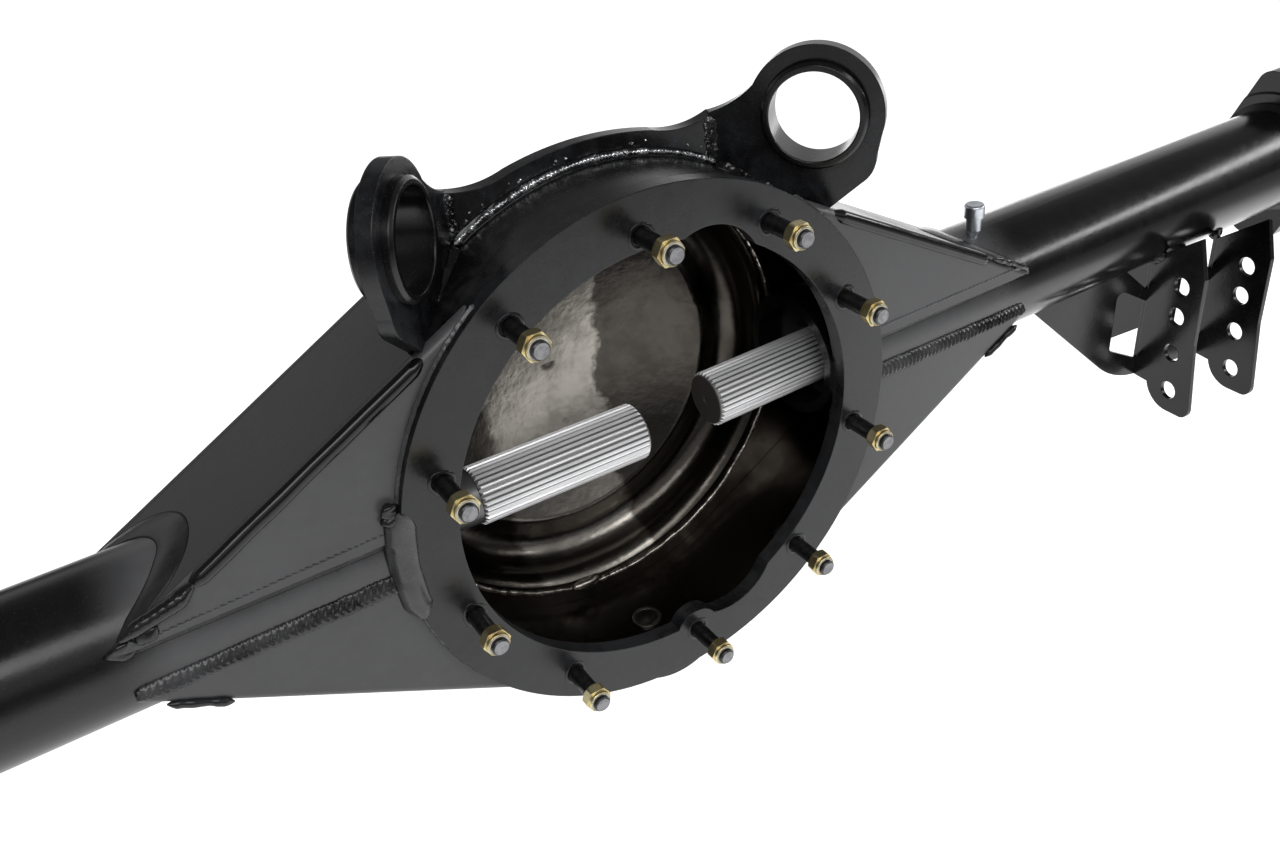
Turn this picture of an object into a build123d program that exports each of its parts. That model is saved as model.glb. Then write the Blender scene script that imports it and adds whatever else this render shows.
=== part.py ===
"""Fabricated rear axle housing with its two splined axle shafts.

Frame, in millimetres: X runs along the axle (+X is the right-hand end in front view), +Y runs into
the housing and +Z is up. The origin is the centre of the carrier opening, on the front face of the
carrier flange. The tube axis is parallel to X, axle_depth behind that face.
"""
import os
from math import acos, atan2, cos, degrees, hypot, radians, sin

from build123d import *

# Tubes and housing box
tube_r = 38.1
tube_wall = 6.35
axle_depth = 46.4
tube_inner_x = 120.0
tube_end_x = 586.0
plate_t = 6.35
box_clearance = 2.8
box_r = 150.0
tip_x = 282.0
tip_top_z = 18.0
tip_bottom_z = -13.0
wrap_end_x = 268.0
slot_top_z = 16.5
slot_bottom_z = -10.5
bend_r = 4.5
seat_gap = 0.1
cut_past = 60.0
box_depth = 2 * (tube_r + box_clearance)
box_front_y = axle_depth - box_depth / 2
box_back_y = axle_depth + box_depth / 2
tip_height = tip_top_z - tip_bottom_z

# Carrier flange, its opening, ring gear reliefs and studs
flange_lip = 2.0
flange_r = box_r + flange_lip
flange_t = 9.5
opening_inset = 29.5
opening_r = flange_r - opening_inset
relief_inset = 22.7
relief_reach = flange_r - relief_inset
relief_r = 34.0
relief_angles = (70.0, -70.0)
stud_angles = (92, 58, 24, -13, -50, -86, -123, -161, -198, -234)
stud_insets = (22, 17, 18, 19.5, 20.5, 23.5, 16, 21, 20, 19)
stud_pad_r = 14.0
stud_r = 4.76
stud_reach = 31.0
stud_head_r = 7.0
stud_head_t = 4.0
stud_chamfer = 0.8
nut_flats = 13.5
nut_hex_t = 5.9
nut_collar_t = 2.6
nut_collar_r = 6.4
nut_inset = 2.4
nut_chamfer = 0.6
insert_wall = 1.0
insert_inset = 0.5

# Back cover
cover_hole_inset = 18.0
cover_hole_r = box_r - cover_hole_inset
cover_t = 4.5
cover_lip_r = 12.7
cover_throat_inset = 6.0
cover_throat_r = cover_hole_r - cover_throat_inset
cover_throat_depth = 15.0
cover_wall_r = 17.0
cover_ridge_inset = 25.0
cover_ridge_r = cover_throat_r - cover_ridge_inset
cover_ridge_bend_r = 8.0
cover_dish_angle = 28.0

# Upper arm bridge and ears
arm_plate_t = 7.9
bridge_y = 56.0
bridge_crest_rise = 12.0
bridge_dip_rise = 4.0
bridge_dip_x = 57.0
bridge_crest_x = 42.0
bridge_side_rise = 7.0
ear_angle = 48.7
ear_x = 109.8
ear_y = 10.7
ear_rise = 6.7
ear_z = box_r + ear_rise
ear_r = 35.8
ear_setback = 5.0
ear_root_w = 1.0
ear_root_drop = 1.6
ear_root_overlap = 8.0
ear_neck = (18.5, 11.0)
ear_neck_angle = 130.0
ear_side_angle = -5.0
ear_heel = ((31.8, -22.0), (30.2, -29.5), (25.0, -35.8))
ear_foot = (6.0, -52.0)
sleeve_r = 27.8
sleeve_bore_r = 23.4
sleeve_length = 20.5
sleeve_chamfer = 1.5
bore_chamfer = 0.5

# Drain pad, drain plug and breather
drain_x = -2.2
drain_y = 41.7
drain_bung_r = 9.3
drain_bore_r = 7.2
drain_bung_stand = 1.6
drain_pad_r = 40.0
drain_pad_x = 0.5
drain_pad_inset = 24.9
drain_pad_z = drain_pad_inset - box_r
drain_pad_length = 56.0
drain_plug_t = 9.0
drain_plug_inset = 2.0
drain_key_flats = 8.0
drain_key_depth = 5.0
breather_inset = 20.0
breather_x = tip_x - breather_inset
breather_y = 38.0
breather_stem_r = 3.2
breather_stem_t = 2.5
breather_cone_t = 2.0
breather_body_r = 4.9
breather_cap_r = 6.4
breather_body_t = 13.0
breather_cap_t = 8.6
breather_cap_round = 1.6
breather_sink = 6.0

# Lower arm brackets, drawn square and turned by their toe about the inner plate's hole line
bracket_x = 430.0
bracket_y = -6.0
bracket_toe = 8.8
bracket_t = 3.2
bracket_gap = 57.7
bracket_bottom_z = -140.0
bracket_front_y = -23.0
bracket_crest = (-14.6, 0.0)
bracket_crest_back_z = -28.5
bracket_shoulder_z = -28.0
bracket_waist_y = -24.0
bracket_waist_z = -79.0
bracket_heel_rise = 10.0
bracket_toe_run = 7.0
bracket_toe_rise = 1.0
bracket_bow = (1.5, 4.5)
bracket_belly_run = 21.0
bracket_foot_bow = 7.0
bracket_foot_front_y = -30.0
bracket_foot_back_y = 11.5
bracket_foot_z = -125.0
bracket_web_y = 24.5
bracket_hole_r = 6.75
bracket_holes = ((-4.9, -39.9), (-4.9, -63.5), (-6.2, -92.5), (-9.2, -122.7))
brace_reach = 103.0
brace_tip_z = -44.7
brace_knee = (-19.4, 55.0)
window_width = 28.5
window_top_z = -46.0
window_low_z = -97.0
window_drop = 17.0
window_low_drop = 14.45
window_corner_r = 5.0
relief_width = 40.0
relief_height = 36.0
relief_low_z = -54.0
rear_gusset_y = 56.0
rear_gusset_top_z = -87.0
rear_gusset_low_z = -110.0
rear_gusset_bevel = (6.0, 5.0)

# Housing ends, bearings, seals and retainers
end_plate_t = 12.7
end_hub_rise = 3.9
end_hub_r = tube_r + end_hub_rise
end_hub_t = 6.0
end_step_w = 8.0
end_step_r = end_hub_r + end_step_w
end_step_t = 1.5
end_step_chamfer = 1.2
end_bore_r = 30.0
end_lug_r = 12.0
end_lug_y = 8.0
end_lug_z = 53.0
end_stud_y = 11.0
end_stud_z = 51.0
end_stud_r = 4.76
end_stud_depth = 10.0
bearing_r = 36.5
bearing_t = 18.0
bearing_race_t = 5.2
bearing_gap = 0.4
bearing_inner_r = 19.0
seal_t = 8.0
seal_setback = 12.0
seal_lip_gap = 0.8
seal_lip_t = 2.0
seal_rim_w = 5.0
retainer_t = 5.0
retainer_opening_r = 31.5
retainer_nut_t = 8.0
retainer_nut_flats = 14.3
retainer_stud_reach = 11.0

# Axle shafts
spline_count = 31
spline_r = 16.65
spline_root_r = 15.2
spline_length = 105.0
spline_chamfer = 1.8
centre_hole_r = 2.5
centre_hole_depth = 6.0
shaft_r = 14.9
left_shaft_end_x = 8.0
right_shaft_end_x = 56.0
shaft_hang = 0.78
wheel_flange_t = 12.0
wheel_flange_gap = 68.0
wheel_pilot_r = 35.0
wheel_pilot_t = 8.0
wheel_stud_circle_r = 57.15
wheel_rim_w = 9.35
wheel_flange_r = wheel_stud_circle_r + wheel_rim_w
wheel_stud_r = 6.35
wheel_knurl_rise = 0.55
wheel_knurl_r = wheel_stud_r + wheel_knurl_rise
wheel_stud_reach = 38.0
wheel_stud_count = 5
wheel_stud_head_r = 8.5
wheel_stud_head_t = 4.0
wheel_relief_r = 8.0
wheel_relief_inset = 6.0
wheel_relief_angle = 18.0
wheel_edge_chamfer = 1.2
wheel_tip_chamfer = 1.5
seat_length = 46.0
taper_length = 12.0
shoulder_rise = 5.0
lock_ring_r = 25.0
lock_ring_t = 9.0
race_setback = 0.8

front_inner_y = box_front_y + plate_t
back_inner_y = box_back_y - plate_t
tube_bore_r = tube_r - tube_wall
end_flange_x = tube_end_x + end_hub_t
end_face_x = end_flange_x + end_plate_t
bearing_x = end_face_x - bearing_t / 2


def slab(sketch, y0, y1):
    """The sketch, drawn in X and Z, as a plate from y0 to y1."""
    return extrude(Plane.XZ.offset(-y0) * sketch, amount=y1 - y0, dir=(0, 1, 0))


def disc_x(radius, x0, x1, y=axle_depth, z=0.0):
    """A cylinder along X from x0 to x1."""
    return extrude(Plane.YZ.offset(x0) * Pos(y, z) * Circle(radius), amount=x1 - x0, dir=(1, 0, 0))


def ring_x(radius, bore, x0, x1):
    return disc_x(radius, x0, x1) - disc_x(bore, x0 - 1, x1 + 1)


def hexagon(flats):
    return RegularPolygon(flats / 2, 6, major_radius=False)


def mirrored(part):
    """The matching piece on the other side of the middle plane."""
    return mirror(part, about=Plane.YZ)


def tangent_angle(x, z, side):
    """Direction, in degrees, of the point where a line from (x, z) touches the box circle."""
    return degrees(atan2(z, x)) + side * degrees(acos(box_r / hypot(x, z)))


def polar(radius, angle):
    return radius * cos(radians(angle)), radius * sin(radians(angle))


def box_outline(inset=0.0, reach=0.0):
    """Front view of the box: a circle with a straight-sided wing on each side."""
    top = tangent_angle(tip_x, tip_top_z, 1)
    bottom = tangent_angle(tip_x, tip_bottom_z, -1)
    top_in, bottom_in = polar(inset, top), polar(inset, bottom)
    wing = [
        polar(box_r - inset, top),
        (tip_x - top_in[0] + reach, tip_top_z - top_in[1]),
        (tip_x - bottom_in[0] + reach, tip_bottom_z - bottom_in[1]),
        polar(box_r - inset, bottom),
        (0, 0),
    ]
    right = make_face(Polyline(*wing, close=True))
    return Circle(box_r - inset) + right + mirror(right, about=Plane.YZ)


def box_envelope():
    return slab(box_outline(), box_front_y - cut_past, box_back_y)


def tube_clearance():
    return disc_x(tube_r + seat_gap, -tip_x - cut_past, tip_x + cut_past)


def stud_points():
    return [polar(flange_r - inset, angle) for inset, angle in zip(stud_insets, stud_angles)]


def lowest_stud():
    return min(stud_points(), key=lambda point: point[1])


def along_y(sketch, point, y0, y1):
    return slab(Pos(*point) * sketch, y0, y1)


def face_flange():
    opening = Circle(opening_r)
    for angle in relief_angles:
        opening += Pos(*polar(relief_reach - relief_r, angle)) * Circle(relief_r)
    opening -= Pos(*lowest_stud()) * Circle(stud_pad_r)
    ring = Circle(flange_r) - opening
    for point in stud_points():
        ring -= Pos(*point) * Circle(stud_r)
    return slab(ring, 0, flange_t)


def carrier_stud(point):
    shank = along_y(Circle(stud_r), point, -stud_reach, flange_t)
    shank = chamfer(shank.faces().sort_by(Axis.Y)[0].edges(), stud_chamfer)
    return shank + along_y(Circle(stud_head_r), point, flange_t, flange_t + stud_head_t)


def nut_span():
    """Front and back of the nut along Y: its collar looks outwards."""
    front = -stud_reach + nut_inset
    return front, front + nut_collar_t, front + nut_collar_t + nut_hex_t


def carrier_nut(point):
    front, step, back = nut_span()
    hexagonal = along_y(hexagon(nut_flats), point, step, back)
    corners = along_y(Circle(nut_flats / 2 * 1.12), point, step, back)
    corners = chamfer(corners.faces().sort_by(Axis.Y)[-1].edges(), nut_chamfer * 1.5)
    collar = along_y(Circle(nut_collar_r), point, front, step)
    collar = fillet(collar.faces().sort_by(Axis.Y)[0].edges(), nut_chamfer * 2)
    nut = (hexagonal & corners) + collar
    nut -= along_y(Circle(stud_r), point, front, back)
    return nut - along_y(Circle(stud_r + insert_wall), point, front, step)


def nut_insert(point):
    front, step, back = nut_span()
    ring = Circle(stud_r + insert_wall) - Circle(stud_r)
    return along_y(ring, point, front + insert_inset, step)


def wrap_plate(side):
    """Top (+1) or bottom (-1) skin: flat wing, rolled middle and flat wing."""
    skin = box_outline() - box_outline(plate_t)
    half = Pos(0, side * box_r) * Rectangle(2 * wrap_end_x, 2 * box_r)
    part = slab(skin & half, flange_t, back_inner_y)
    part -= slab(box_outline() - Circle(flange_r), 0, front_inner_y)
    return part - tube_clearance()


def bottom_plate():
    return wrap_plate(-1) - drain_column(drain_bung_r, drain_pad_low_z() - 1, 0)


def drain_column(radius, low, high):
    return Pos(drain_x, drain_y, low) * extrude(Circle(radius), high - low)


def drain_pad_low_z():
    return drain_pad_z - drain_pad_r


def drain_pad():
    """Crescent pad welded under the rolled skin, behind the flange."""
    profile = Pos(drain_pad_x, drain_pad_z) * Circle(drain_pad_r) - Circle(box_r)
    pad = slab(profile, flange_t, flange_t + drain_pad_length)
    pad = pad.solids().sort_by(Axis.Z)[0]
    return pad - drain_column(drain_bung_r, drain_pad_low_z() - 1, 0)


def drain_bung():
    """Threaded ring let into the pad and the skin, standing a little proud inside."""
    low, high = drain_pad_low_z(), -box_r + plate_t + drain_bung_stand
    return drain_column(drain_bung_r, low, high) - drain_column(drain_bore_r, low - 1, high + 1)


def drain_plug():
    low = drain_pad_low_z() + drain_plug_inset
    plug = drain_column(drain_bore_r, low, low + drain_plug_t)
    plug = chamfer(plug.edges().filter_by(GeomType.CIRCLE), stud_chamfer)
    key = extrude(hexagon(drain_key_flats), drain_key_depth)
    return plug - Pos(drain_x, drain_y, low) * key


def wing_start_x(side):
    """X just outboard of the point where a wing's sloping edge leaves the box circle."""
    z = tip_top_z if side > 0 else tip_bottom_z
    return polar(box_r, tangent_angle(tip_x, z, side))[0] + plate_t


def wing_half(side, y0, y1):
    """The right-hand flat wing above (+1) or below (-1) the tube slot, from y0 to y1."""
    z = slot_top_z if side > 0 else slot_bottom_z
    window = Pos(wing_start_x(side) + tip_x, z + side * box_r) * Rectangle(2 * tip_x, 2 * box_r)
    return slab(box_outline() & window, y0, y1)


def front_plate(side):
    plate = wing_half(side, box_front_y, front_inner_y)
    outer = plate.edges().filter_by(lambda e: is_long_front_edge(e, box_front_y))
    plate = fillet(outer, bend_r)
    plate -= slab(Circle(flange_r + seat_gap), box_front_y - 1, front_inner_y + 1)
    plate = plate.solids().sort_by(Axis.X)[-1]
    return plate - tube_clearance()


def is_long_front_edge(edge, y):
    """True for the long sloping edge of a wing on the face at y."""
    middle = edge.center()
    slope = abs((edge @ 1).Z - (edge @ 0).Z)
    return abs(middle.Y - y) < 0.01 and edge.length > 2 * tip_height and slope > tip_height / 2


def back_plate():
    plate = slab(box_outline(), back_inner_y, box_back_y)
    outer = plate.faces().sort_by(Axis.Y)[-1].edges().filter_by(lambda e: e.length > 1.5 * tip_height)
    plate = fillet(outer, bend_r)
    plate -= slab(Circle(cover_hole_r), back_inner_y - 1, box_back_y + 1)
    slot_z = (slot_top_z + slot_bottom_z) / 2
    slot_height = slot_top_z - slot_bottom_z
    for side in (-1, 1):
        slot = Pos(side * (flange_r + tip_x), slot_z) * Rectangle(2 * tip_x, slot_height)
        plate -= slab(slot, back_inner_y - 1, box_back_y + 1)
    return plate - tube_clearance()


def cover_profile(offset):
    """Half section of the pressed cover in radius and depth, from its rim to its middle."""
    throat_y = back_inner_y + cover_throat_depth
    floor_y = throat_y + cover_wall_r
    lip_x = cover_throat_r + cover_lip_r
    turn = degrees(acos((lip_x - cover_hole_r + seat_gap) / cover_lip_r))
    lip = CenterArc((lip_x, throat_y), cover_lip_r - offset, 180 + turn, -turn)
    wall = CenterArc((cover_throat_r - cover_wall_r, throat_y), cover_wall_r + offset, 0, 90)
    ridge_centre = (cover_ridge_r, floor_y + cover_ridge_bend_r)
    ridge = CenterArc(ridge_centre, cover_ridge_bend_r - offset, 270, -cover_dish_angle)
    slope = radians(cover_dish_angle)
    dish_r = (cover_ridge_r - cover_ridge_bend_r * sin(slope)) / sin(slope)
    dish_y = floor_y + cover_ridge_bend_r * (1 - cos(slope)) - dish_r * cos(slope)
    dish = CenterArc((0, dish_y), dish_r + offset, 90 - cover_dish_angle, cover_dish_angle)
    return [lip, wall, Line(wall @ 1, ridge @ 0), ridge, dish]


def back_cover():
    inner = cover_profile(0.0)
    outer = cover_profile(cover_t)
    rim = Line(inner[0] @ 0, outer[0] @ 0)
    middle = Line(inner[-1] @ 1, outer[-1] @ 1)
    cover = revolve(Plane.XY * make_face(inner + outer + [rim, middle]), Axis.Y)
    collar = Circle(cover_hole_r + 2 * cover_t) - Circle(cover_hole_r - seat_gap)
    return cover - slab(collar, back_inner_y, box_back_y + seat_gap)


def bridge():
    """Upright collar plate over the rolled top, mitred to meet both ears."""
    side_z = box_r + bridge_side_rise
    crest = ThreePointArc(
        (-bridge_crest_x, side_z), (0, box_r + bridge_crest_rise), (bridge_crest_x, side_z)
    )
    end_x, end_z = bridge_back_x() + 1, ear_z + ear_root_w
    lines = [crest]
    for side in (-1, 1):
        crest_end = (side * bridge_crest_x, side_z)
        low = (side * bridge_dip_x, box_r + bridge_dip_rise)
        end = (side * end_x, end_z)
        lines += [ThreePointArc(crest_end, low, end), Line(end, (side * end_x, 0))]
    lines.append(Line((-end_x, 0), (end_x, 0)))
    plate = slab(make_face(lines), bridge_y, bridge_y + arm_plate_t)
    front_x = bridge_front_x()
    back_x = bridge_back_x()
    plan = Polyline(
        (-front_x, bridge_y), (front_x, bridge_y), (back_x, bridge_y + arm_plate_t),
        (-back_x, bridge_y + arm_plate_t), close=True,
    )
    plate &= extrude(make_face(plan), amount=ear_z * 2)
    return plate - box_envelope()


def ear_front_point():
    """Where the bore axis crosses the front face of the right ear plate."""
    back = ear_setback
    return ear_x + back * sin(radians(ear_angle)), ear_y + back * cos(radians(ear_angle))


def bridge_front_x():
    """X where the front faces of the bridge and the right ear meet."""
    x, y = ear_front_point()
    return x - (bridge_y - y) / sin(radians(ear_angle)) * cos(radians(ear_angle))


def bridge_back_x():
    return bridge_front_x() + arm_plate_t * sin(radians(ear_angle / 2)) / cos(radians(ear_angle / 2))


def ear_plane():
    """Plane of the sleeve's front face: local x runs outwards, local y up, and z to the front."""
    turn = radians(ear_angle)
    return Plane(
        origin=(ear_x, ear_y, ear_z), x_dir=(cos(turn), -sin(turn), 0), z_dir=(-sin(turn), -cos(turn), 0)
    )


def along_bore(sketch, start, length):
    """The sketch pushed back along the right ear's bore axis from a given depth."""
    return extrude(ear_plane().offset(-start) * sketch, amount=-length)


def right_ear():
    root = -(bridge_y - ear_front_point()[1]) / sin(radians(ear_angle))
    root_x = root - ear_root_overlap
    root_top = (root_x, ear_root_w - ear_root_drop)
    crown, side = polar(ear_r, ear_neck_angle), polar(ear_r, ear_side_angle)
    low = (ear_foot[0], -ear_z / 2)
    edges = [
        ThreePointArc(root_top, (root + ear_neck[0], ear_neck[1]), crown),
        Line(crown, side),
        Line(side, ear_heel[0]),
        ThreePointArc(*ear_heel),
        Line(ear_heel[2], ear_foot),
        Line(ear_foot, low),
        Line(low, (root_x, low[1])),
        Line((root_x, low[1]), root_top),
    ]
    outline = make_face(edges) + Circle(ear_r) - Circle(sleeve_r)
    plate = along_bore(outline, ear_setback, arm_plate_t)
    mitre = radians(ear_angle / 2)
    cut = Plane(
        origin=(bridge_front_x(), bridge_y, ear_z), x_dir=(0, 0, 1), z_dir=(cos(mitre), -sin(mitre), 0)
    )
    plate = split(plate, bisect_by=cut, keep=Keep.TOP)
    return plate - box_envelope()


def right_ear_sleeve():
    tube = along_bore(Circle(sleeve_r) - Circle(sleeve_bore_r), 0, sleeve_length)
    rims = tube.edges().filter_by(GeomType.CIRCLE).group_by(SortBy.RADIUS)
    tube = chamfer(rims[-1], sleeve_chamfer)
    bores = tube.edges().filter_by(GeomType.CIRCLE).group_by(SortBy.RADIUS)
    return chamfer(bores[0], bore_chamfer)


def right_tube():
    """Plain tube, milled flat where it passes behind the flange."""
    tube = ring_x(tube_r, tube_bore_r, tube_inner_x, tube_end_x)
    return tube - slab(Circle(flange_r + seat_gap), 0, flange_t)


def breather_base_z():
    """Height of the tube's surface under the breather."""
    return (tube_r ** 2 - (breather_y - axle_depth) ** 2) ** 0.5


def right_breather_hole():
    return Pos(breather_x, breather_y, tube_r) * Cylinder(breather_stem_r, 2 * tube_wall + 10)


def breather_body():
    base = breather_base_z()
    barrel_z = base + breather_stem_t + breather_cone_t
    stem = extrude(Circle(breather_stem_r), breather_sink + breather_stem_t)
    stem = Pos(breather_x, breather_y, base - breather_sink) * stem
    cone = Cone(breather_stem_r, breather_body_r, 2 * breather_cone_t)
    cone = Pos(breather_x, breather_y, base + breather_stem_t) * cone
    barrel = extrude(Circle(breather_body_r), base + breather_body_t - barrel_z)
    return stem + cone + Pos(breather_x, breather_y, barrel_z) * barrel


def breather_cap():
    base = breather_base_z() + breather_body_t
    cap = extrude(Circle(breather_cap_r), breather_cap_t)
    cap = fillet(cap.faces().sort_by(Axis.Z)[-1].edges(), breather_cap_round)
    return Pos(breather_x, breather_y, base) * cap


def bracket_frame(part):
    """Turns a piece drawn square, with x measured from the inner plate, and cuts it to the tube."""
    placed = Pos(bracket_x, bracket_y, 0) * Rot(0, 0, -bracket_toe) * Pos(0, -bracket_y, 0) * part
    return placed - disc_x(tube_r + seat_gap, bracket_x - 2 * brace_reach, tube_end_x)


def bracket_outline():
    """Side view of a bracket plate in Y and Z: its top edge slopes up and forward from the tube."""
    top_back = (bracket_web_y, bracket_crest_back_z)
    shoulder = (bracket_front_y, bracket_shoulder_z)
    waist = (bracket_waist_y, bracket_waist_z)
    heel = (bracket_foot_front_y, bracket_bottom_z + bracket_heel_rise)
    toe = (bracket_foot_front_y + bracket_toe_run, bracket_bottom_z + bracket_toe_rise)
    belly = (bracket_foot_back_y - bracket_belly_run, bracket_bottom_z)
    foot = (bracket_foot_back_y, bracket_foot_z)
    bow_x, bow_z = bracket_bow[0], bracket_bottom_z + bracket_bow[1]
    return make_face([
        Line(top_back, bracket_crest),
        Line(bracket_crest, shoulder),
        Line(shoulder, waist),
        Line(waist, heel),
        ThreePointArc(heel, (heel[0] + bow_x, bow_z), toe),
        Line(toe, belly),
        ThreePointArc(belly, (bracket_foot_back_y - bracket_foot_bow, bow_z), foot),
        Line(foot, (bracket_web_y, bracket_foot_z)),
        Line((bracket_web_y, bracket_foot_z), top_back),
    ])


def bracket_plate(x):
    outline = bracket_outline()
    for y, z in bracket_holes:
        outline -= Pos(y, z) * Circle(bracket_hole_r)
    return bracket_frame(extrude(Plane.YZ.offset(x) * outline, amount=bracket_t, dir=(1, 0, 0)))


def right_bracket_inner():
    return bracket_plate(0)


def right_bracket_outer():
    return bracket_plate(bracket_t + bracket_gap)


def web_cutouts(x):
    """Window and corner relief of the back plate in the bay that ends at the plate face x."""
    left = x - window_width
    window = Polyline((left, window_top_z), (x, window_top_z - window_drop),
                      (x, window_low_z - window_low_drop), (left, window_low_z), close=True)
    window = make_face(window)
    corners = window.vertices().filter_by(lambda v: v.X < x - 1)
    window = fillet(corners, window_corner_r)
    relief = Polyline((x, relief_low_z), (x - relief_width, relief_low_z + relief_height),
                      (x, relief_low_z + relief_height), close=True)
    return window + make_face(relief)


def web_plate(outline):
    outline -= web_cutouts(bracket_t + bracket_gap)
    return bracket_frame(slab(outline, bracket_web_y, bracket_web_y + bracket_t))


def right_bracket_web():
    """Back plate of the bracket, running inboard as a brace to its tip under the tube."""
    end_x = bracket_gap + 2 * bracket_t
    knee_x, knee_r = brace_knee
    outline = make_face(Polyline(
        (-brace_reach, 0), (-brace_reach, brace_tip_z), (knee_x, bracket_foot_z),
        (end_x, bracket_foot_z), (end_x, 0), close=True,
    ))
    knee = outline.vertices().filter_by(lambda v: abs(v.X - knee_x) < 0.01)
    return web_plate(fillet(knee, knee_r) - web_cutouts(0))


def right_bracket_plain_web():
    """Back plate of a bracket without the inboard brace."""
    end_x = bracket_gap + 2 * bracket_t
    return web_plate(Pos(end_x / 2, bracket_foot_z / 2) * Rectangle(end_x, -bracket_foot_z))


def right_rear_gusset():
    """Plate behind the back plate, in line with the inner plate."""
    start = bracket_web_y + bracket_t
    back_y = rear_gusset_y + rear_gusset_bevel[0]
    outline = make_face(Polyline(
        (start, 0), (start, rear_gusset_top_z), (rear_gusset_y, rear_gusset_low_z),
        (back_y, rear_gusset_low_z + rear_gusset_bevel[1]), (back_y, 0), close=True,
    ))
    return bracket_frame(extrude(Plane.YZ * outline, amount=bracket_t, dir=(1, 0, 0)))


def end_outline():
    """Side view of the housing end flange, centred on the axle: a ring with two broad lugs."""
    lugs = [Pos(sy * end_lug_y, sz * end_lug_z) * Circle(end_lug_r) for sy in (-1, 1) for sz in (-1, 1)]
    rims = [edge for shape in [Circle(end_hub_r)] + lugs for edge in shape.edges()]
    return make_hull(rims)


def end_stud_points():
    return [(axle_depth + sy * end_stud_y, sz * end_stud_z) for sy in (-1, 1) for sz in (-1, 1)]


def right_housing_end():
    """Forged end butted to the tube: flange plate, short hub, bearing seat and stud holes."""
    outline = end_outline()
    start = end_flange_x + end_step_t
    plate = extrude(Plane.YZ.offset(start) * Pos(axle_depth, 0) * outline, end_face_x - start, dir=(1, 0, 0))
    step = extrude(Plane.YZ * Pos(axle_depth, 0) * outline, 2 * end_face_x, dir=(1, 0, 0))
    disc = disc_x(end_step_r, end_flange_x, start)
    step &= chamfer(disc.faces().sort_by(Axis.X)[0].edges(), end_step_chamfer)
    hub = disc_x(end_hub_r, tube_end_x, end_flange_x)
    hub = chamfer(hub.faces().sort_by(Axis.X)[0].edges(), end_hub_r - tube_r)
    end = plate + step + hub - disc_x(end_bore_r, tube_end_x - 1, end_face_x + 1)
    for y, z in end_stud_points():
        end -= disc_x(end_stud_r, end_face_x - end_stud_depth, end_face_x + 1, y, z)
    return end - disc_x(bearing_r, bearing_back_x(), end_face_x + 1)


def bearing_back_x():
    return bearing_x - bearing_t / 2


def right_bearing_outer():
    inner = bearing_r - bearing_race_t
    return ring_x(bearing_r, inner, bearing_back_x(), bearing_x + bearing_t / 2)


def right_seal():
    """Oil seal pressed in the tube end, its lip just clear of the shaft."""
    x1 = tube_end_x - seal_setback
    lip = bearing_inner_r + seal_lip_gap
    body = ring_x(tube_bore_r, lip + seal_rim_w, x1 - seal_t, x1)
    return body + ring_x(tube_bore_r, lip, x1 - seal_t, x1 - seal_t + seal_lip_t)


def right_retainer():
    """Plate that clamps the bearing in the housing end."""
    sketch = Pos(axle_depth, 0) * (end_outline() - Circle(retainer_opening_r))
    for y, z in end_stud_points():
        sketch -= Pos(y, z) * Circle(end_stud_r)
    return extrude(Plane.YZ.offset(end_face_x) * sketch, retainer_t, dir=(1, 0, 0))


def right_retainer_studs():
    """Four studs screwed into blind holes in the outer face of the housing end."""
    end_x = end_face_x + retainer_t + retainer_stud_reach
    studs = []
    for y, z in end_stud_points():
        shank = disc_x(end_stud_r, end_face_x - end_stud_depth, end_x, y, z)
        studs.append(chamfer(shank.faces().sort_by(Axis.X)[-1].edges(), stud_chamfer))
    return studs


def right_retainer_nuts():
    x0 = end_face_x + retainer_t
    nuts = []
    for y, z in end_stud_points():
        flats = Plane.YZ.offset(x0) * Pos(y, z) * hexagon(retainer_nut_flats)
        nut = extrude(flats, retainer_nut_t, dir=(1, 0, 0))
        nuts.append(nut - disc_x(end_stud_r, x0 - 1, x0 + retainer_nut_t + 1, y, z))
    return nuts


def spline_section():
    """Cross-section of the splines: evenly spaced straight-flanked teeth."""
    pitch = 360 / spline_count
    points = []
    for i in range(spline_count):
        start = i * pitch
        points += [
            polar(spline_root_r, start),
            polar(spline_root_r, start + 0.30 * pitch),
            polar(spline_r, start + 0.52 * pitch),
            polar(spline_r, start + 0.78 * pitch),
        ]
    return make_face(Polyline(*points, close=True))


def splined_end(inner_x, direction):
    """The splined length of a shaft, from its inner end outwards along X."""
    section = Pos(inner_x, 0, 0) * (Plane.YZ * spline_section())
    teeth = extrude(section, spline_length, dir=(direction, 0, 0))
    blank = Pos(inner_x + direction * spline_length / 2, 0, 0) * Rot(0, 90, 0)
    blank = blank * Cylinder(spline_r, spline_length)
    inner = blank.faces().sort_by(Axis.X)[0 if direction > 0 else -1]
    blank = chamfer(inner.edges(), spline_chamfer)
    outer = blank.faces().sort_by(Axis.X)[-1 if direction > 0 else 0]
    blank = chamfer(outer.edges(), spline_chamfer * 0.9)
    centre = Pos(inner_x + direction * centre_hole_depth / 2, 0, 0) * Rot(0, 90, 0)
    return (teeth & blank) - centre * Cylinder(centre_hole_r, centre_hole_depth)


def axle_cylinder(radius, x0, x1):
    """A cylinder about the X axis itself; axle pieces are drawn there and moved to their place."""
    return Pos((x0 + x1) / 2, 0, 0) * Rot(0, 90, 0) * Cylinder(radius, abs(x1 - x0))


def wheel_face_x():
    return end_face_x + retainer_t + wheel_flange_gap + wheel_flange_t


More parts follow.
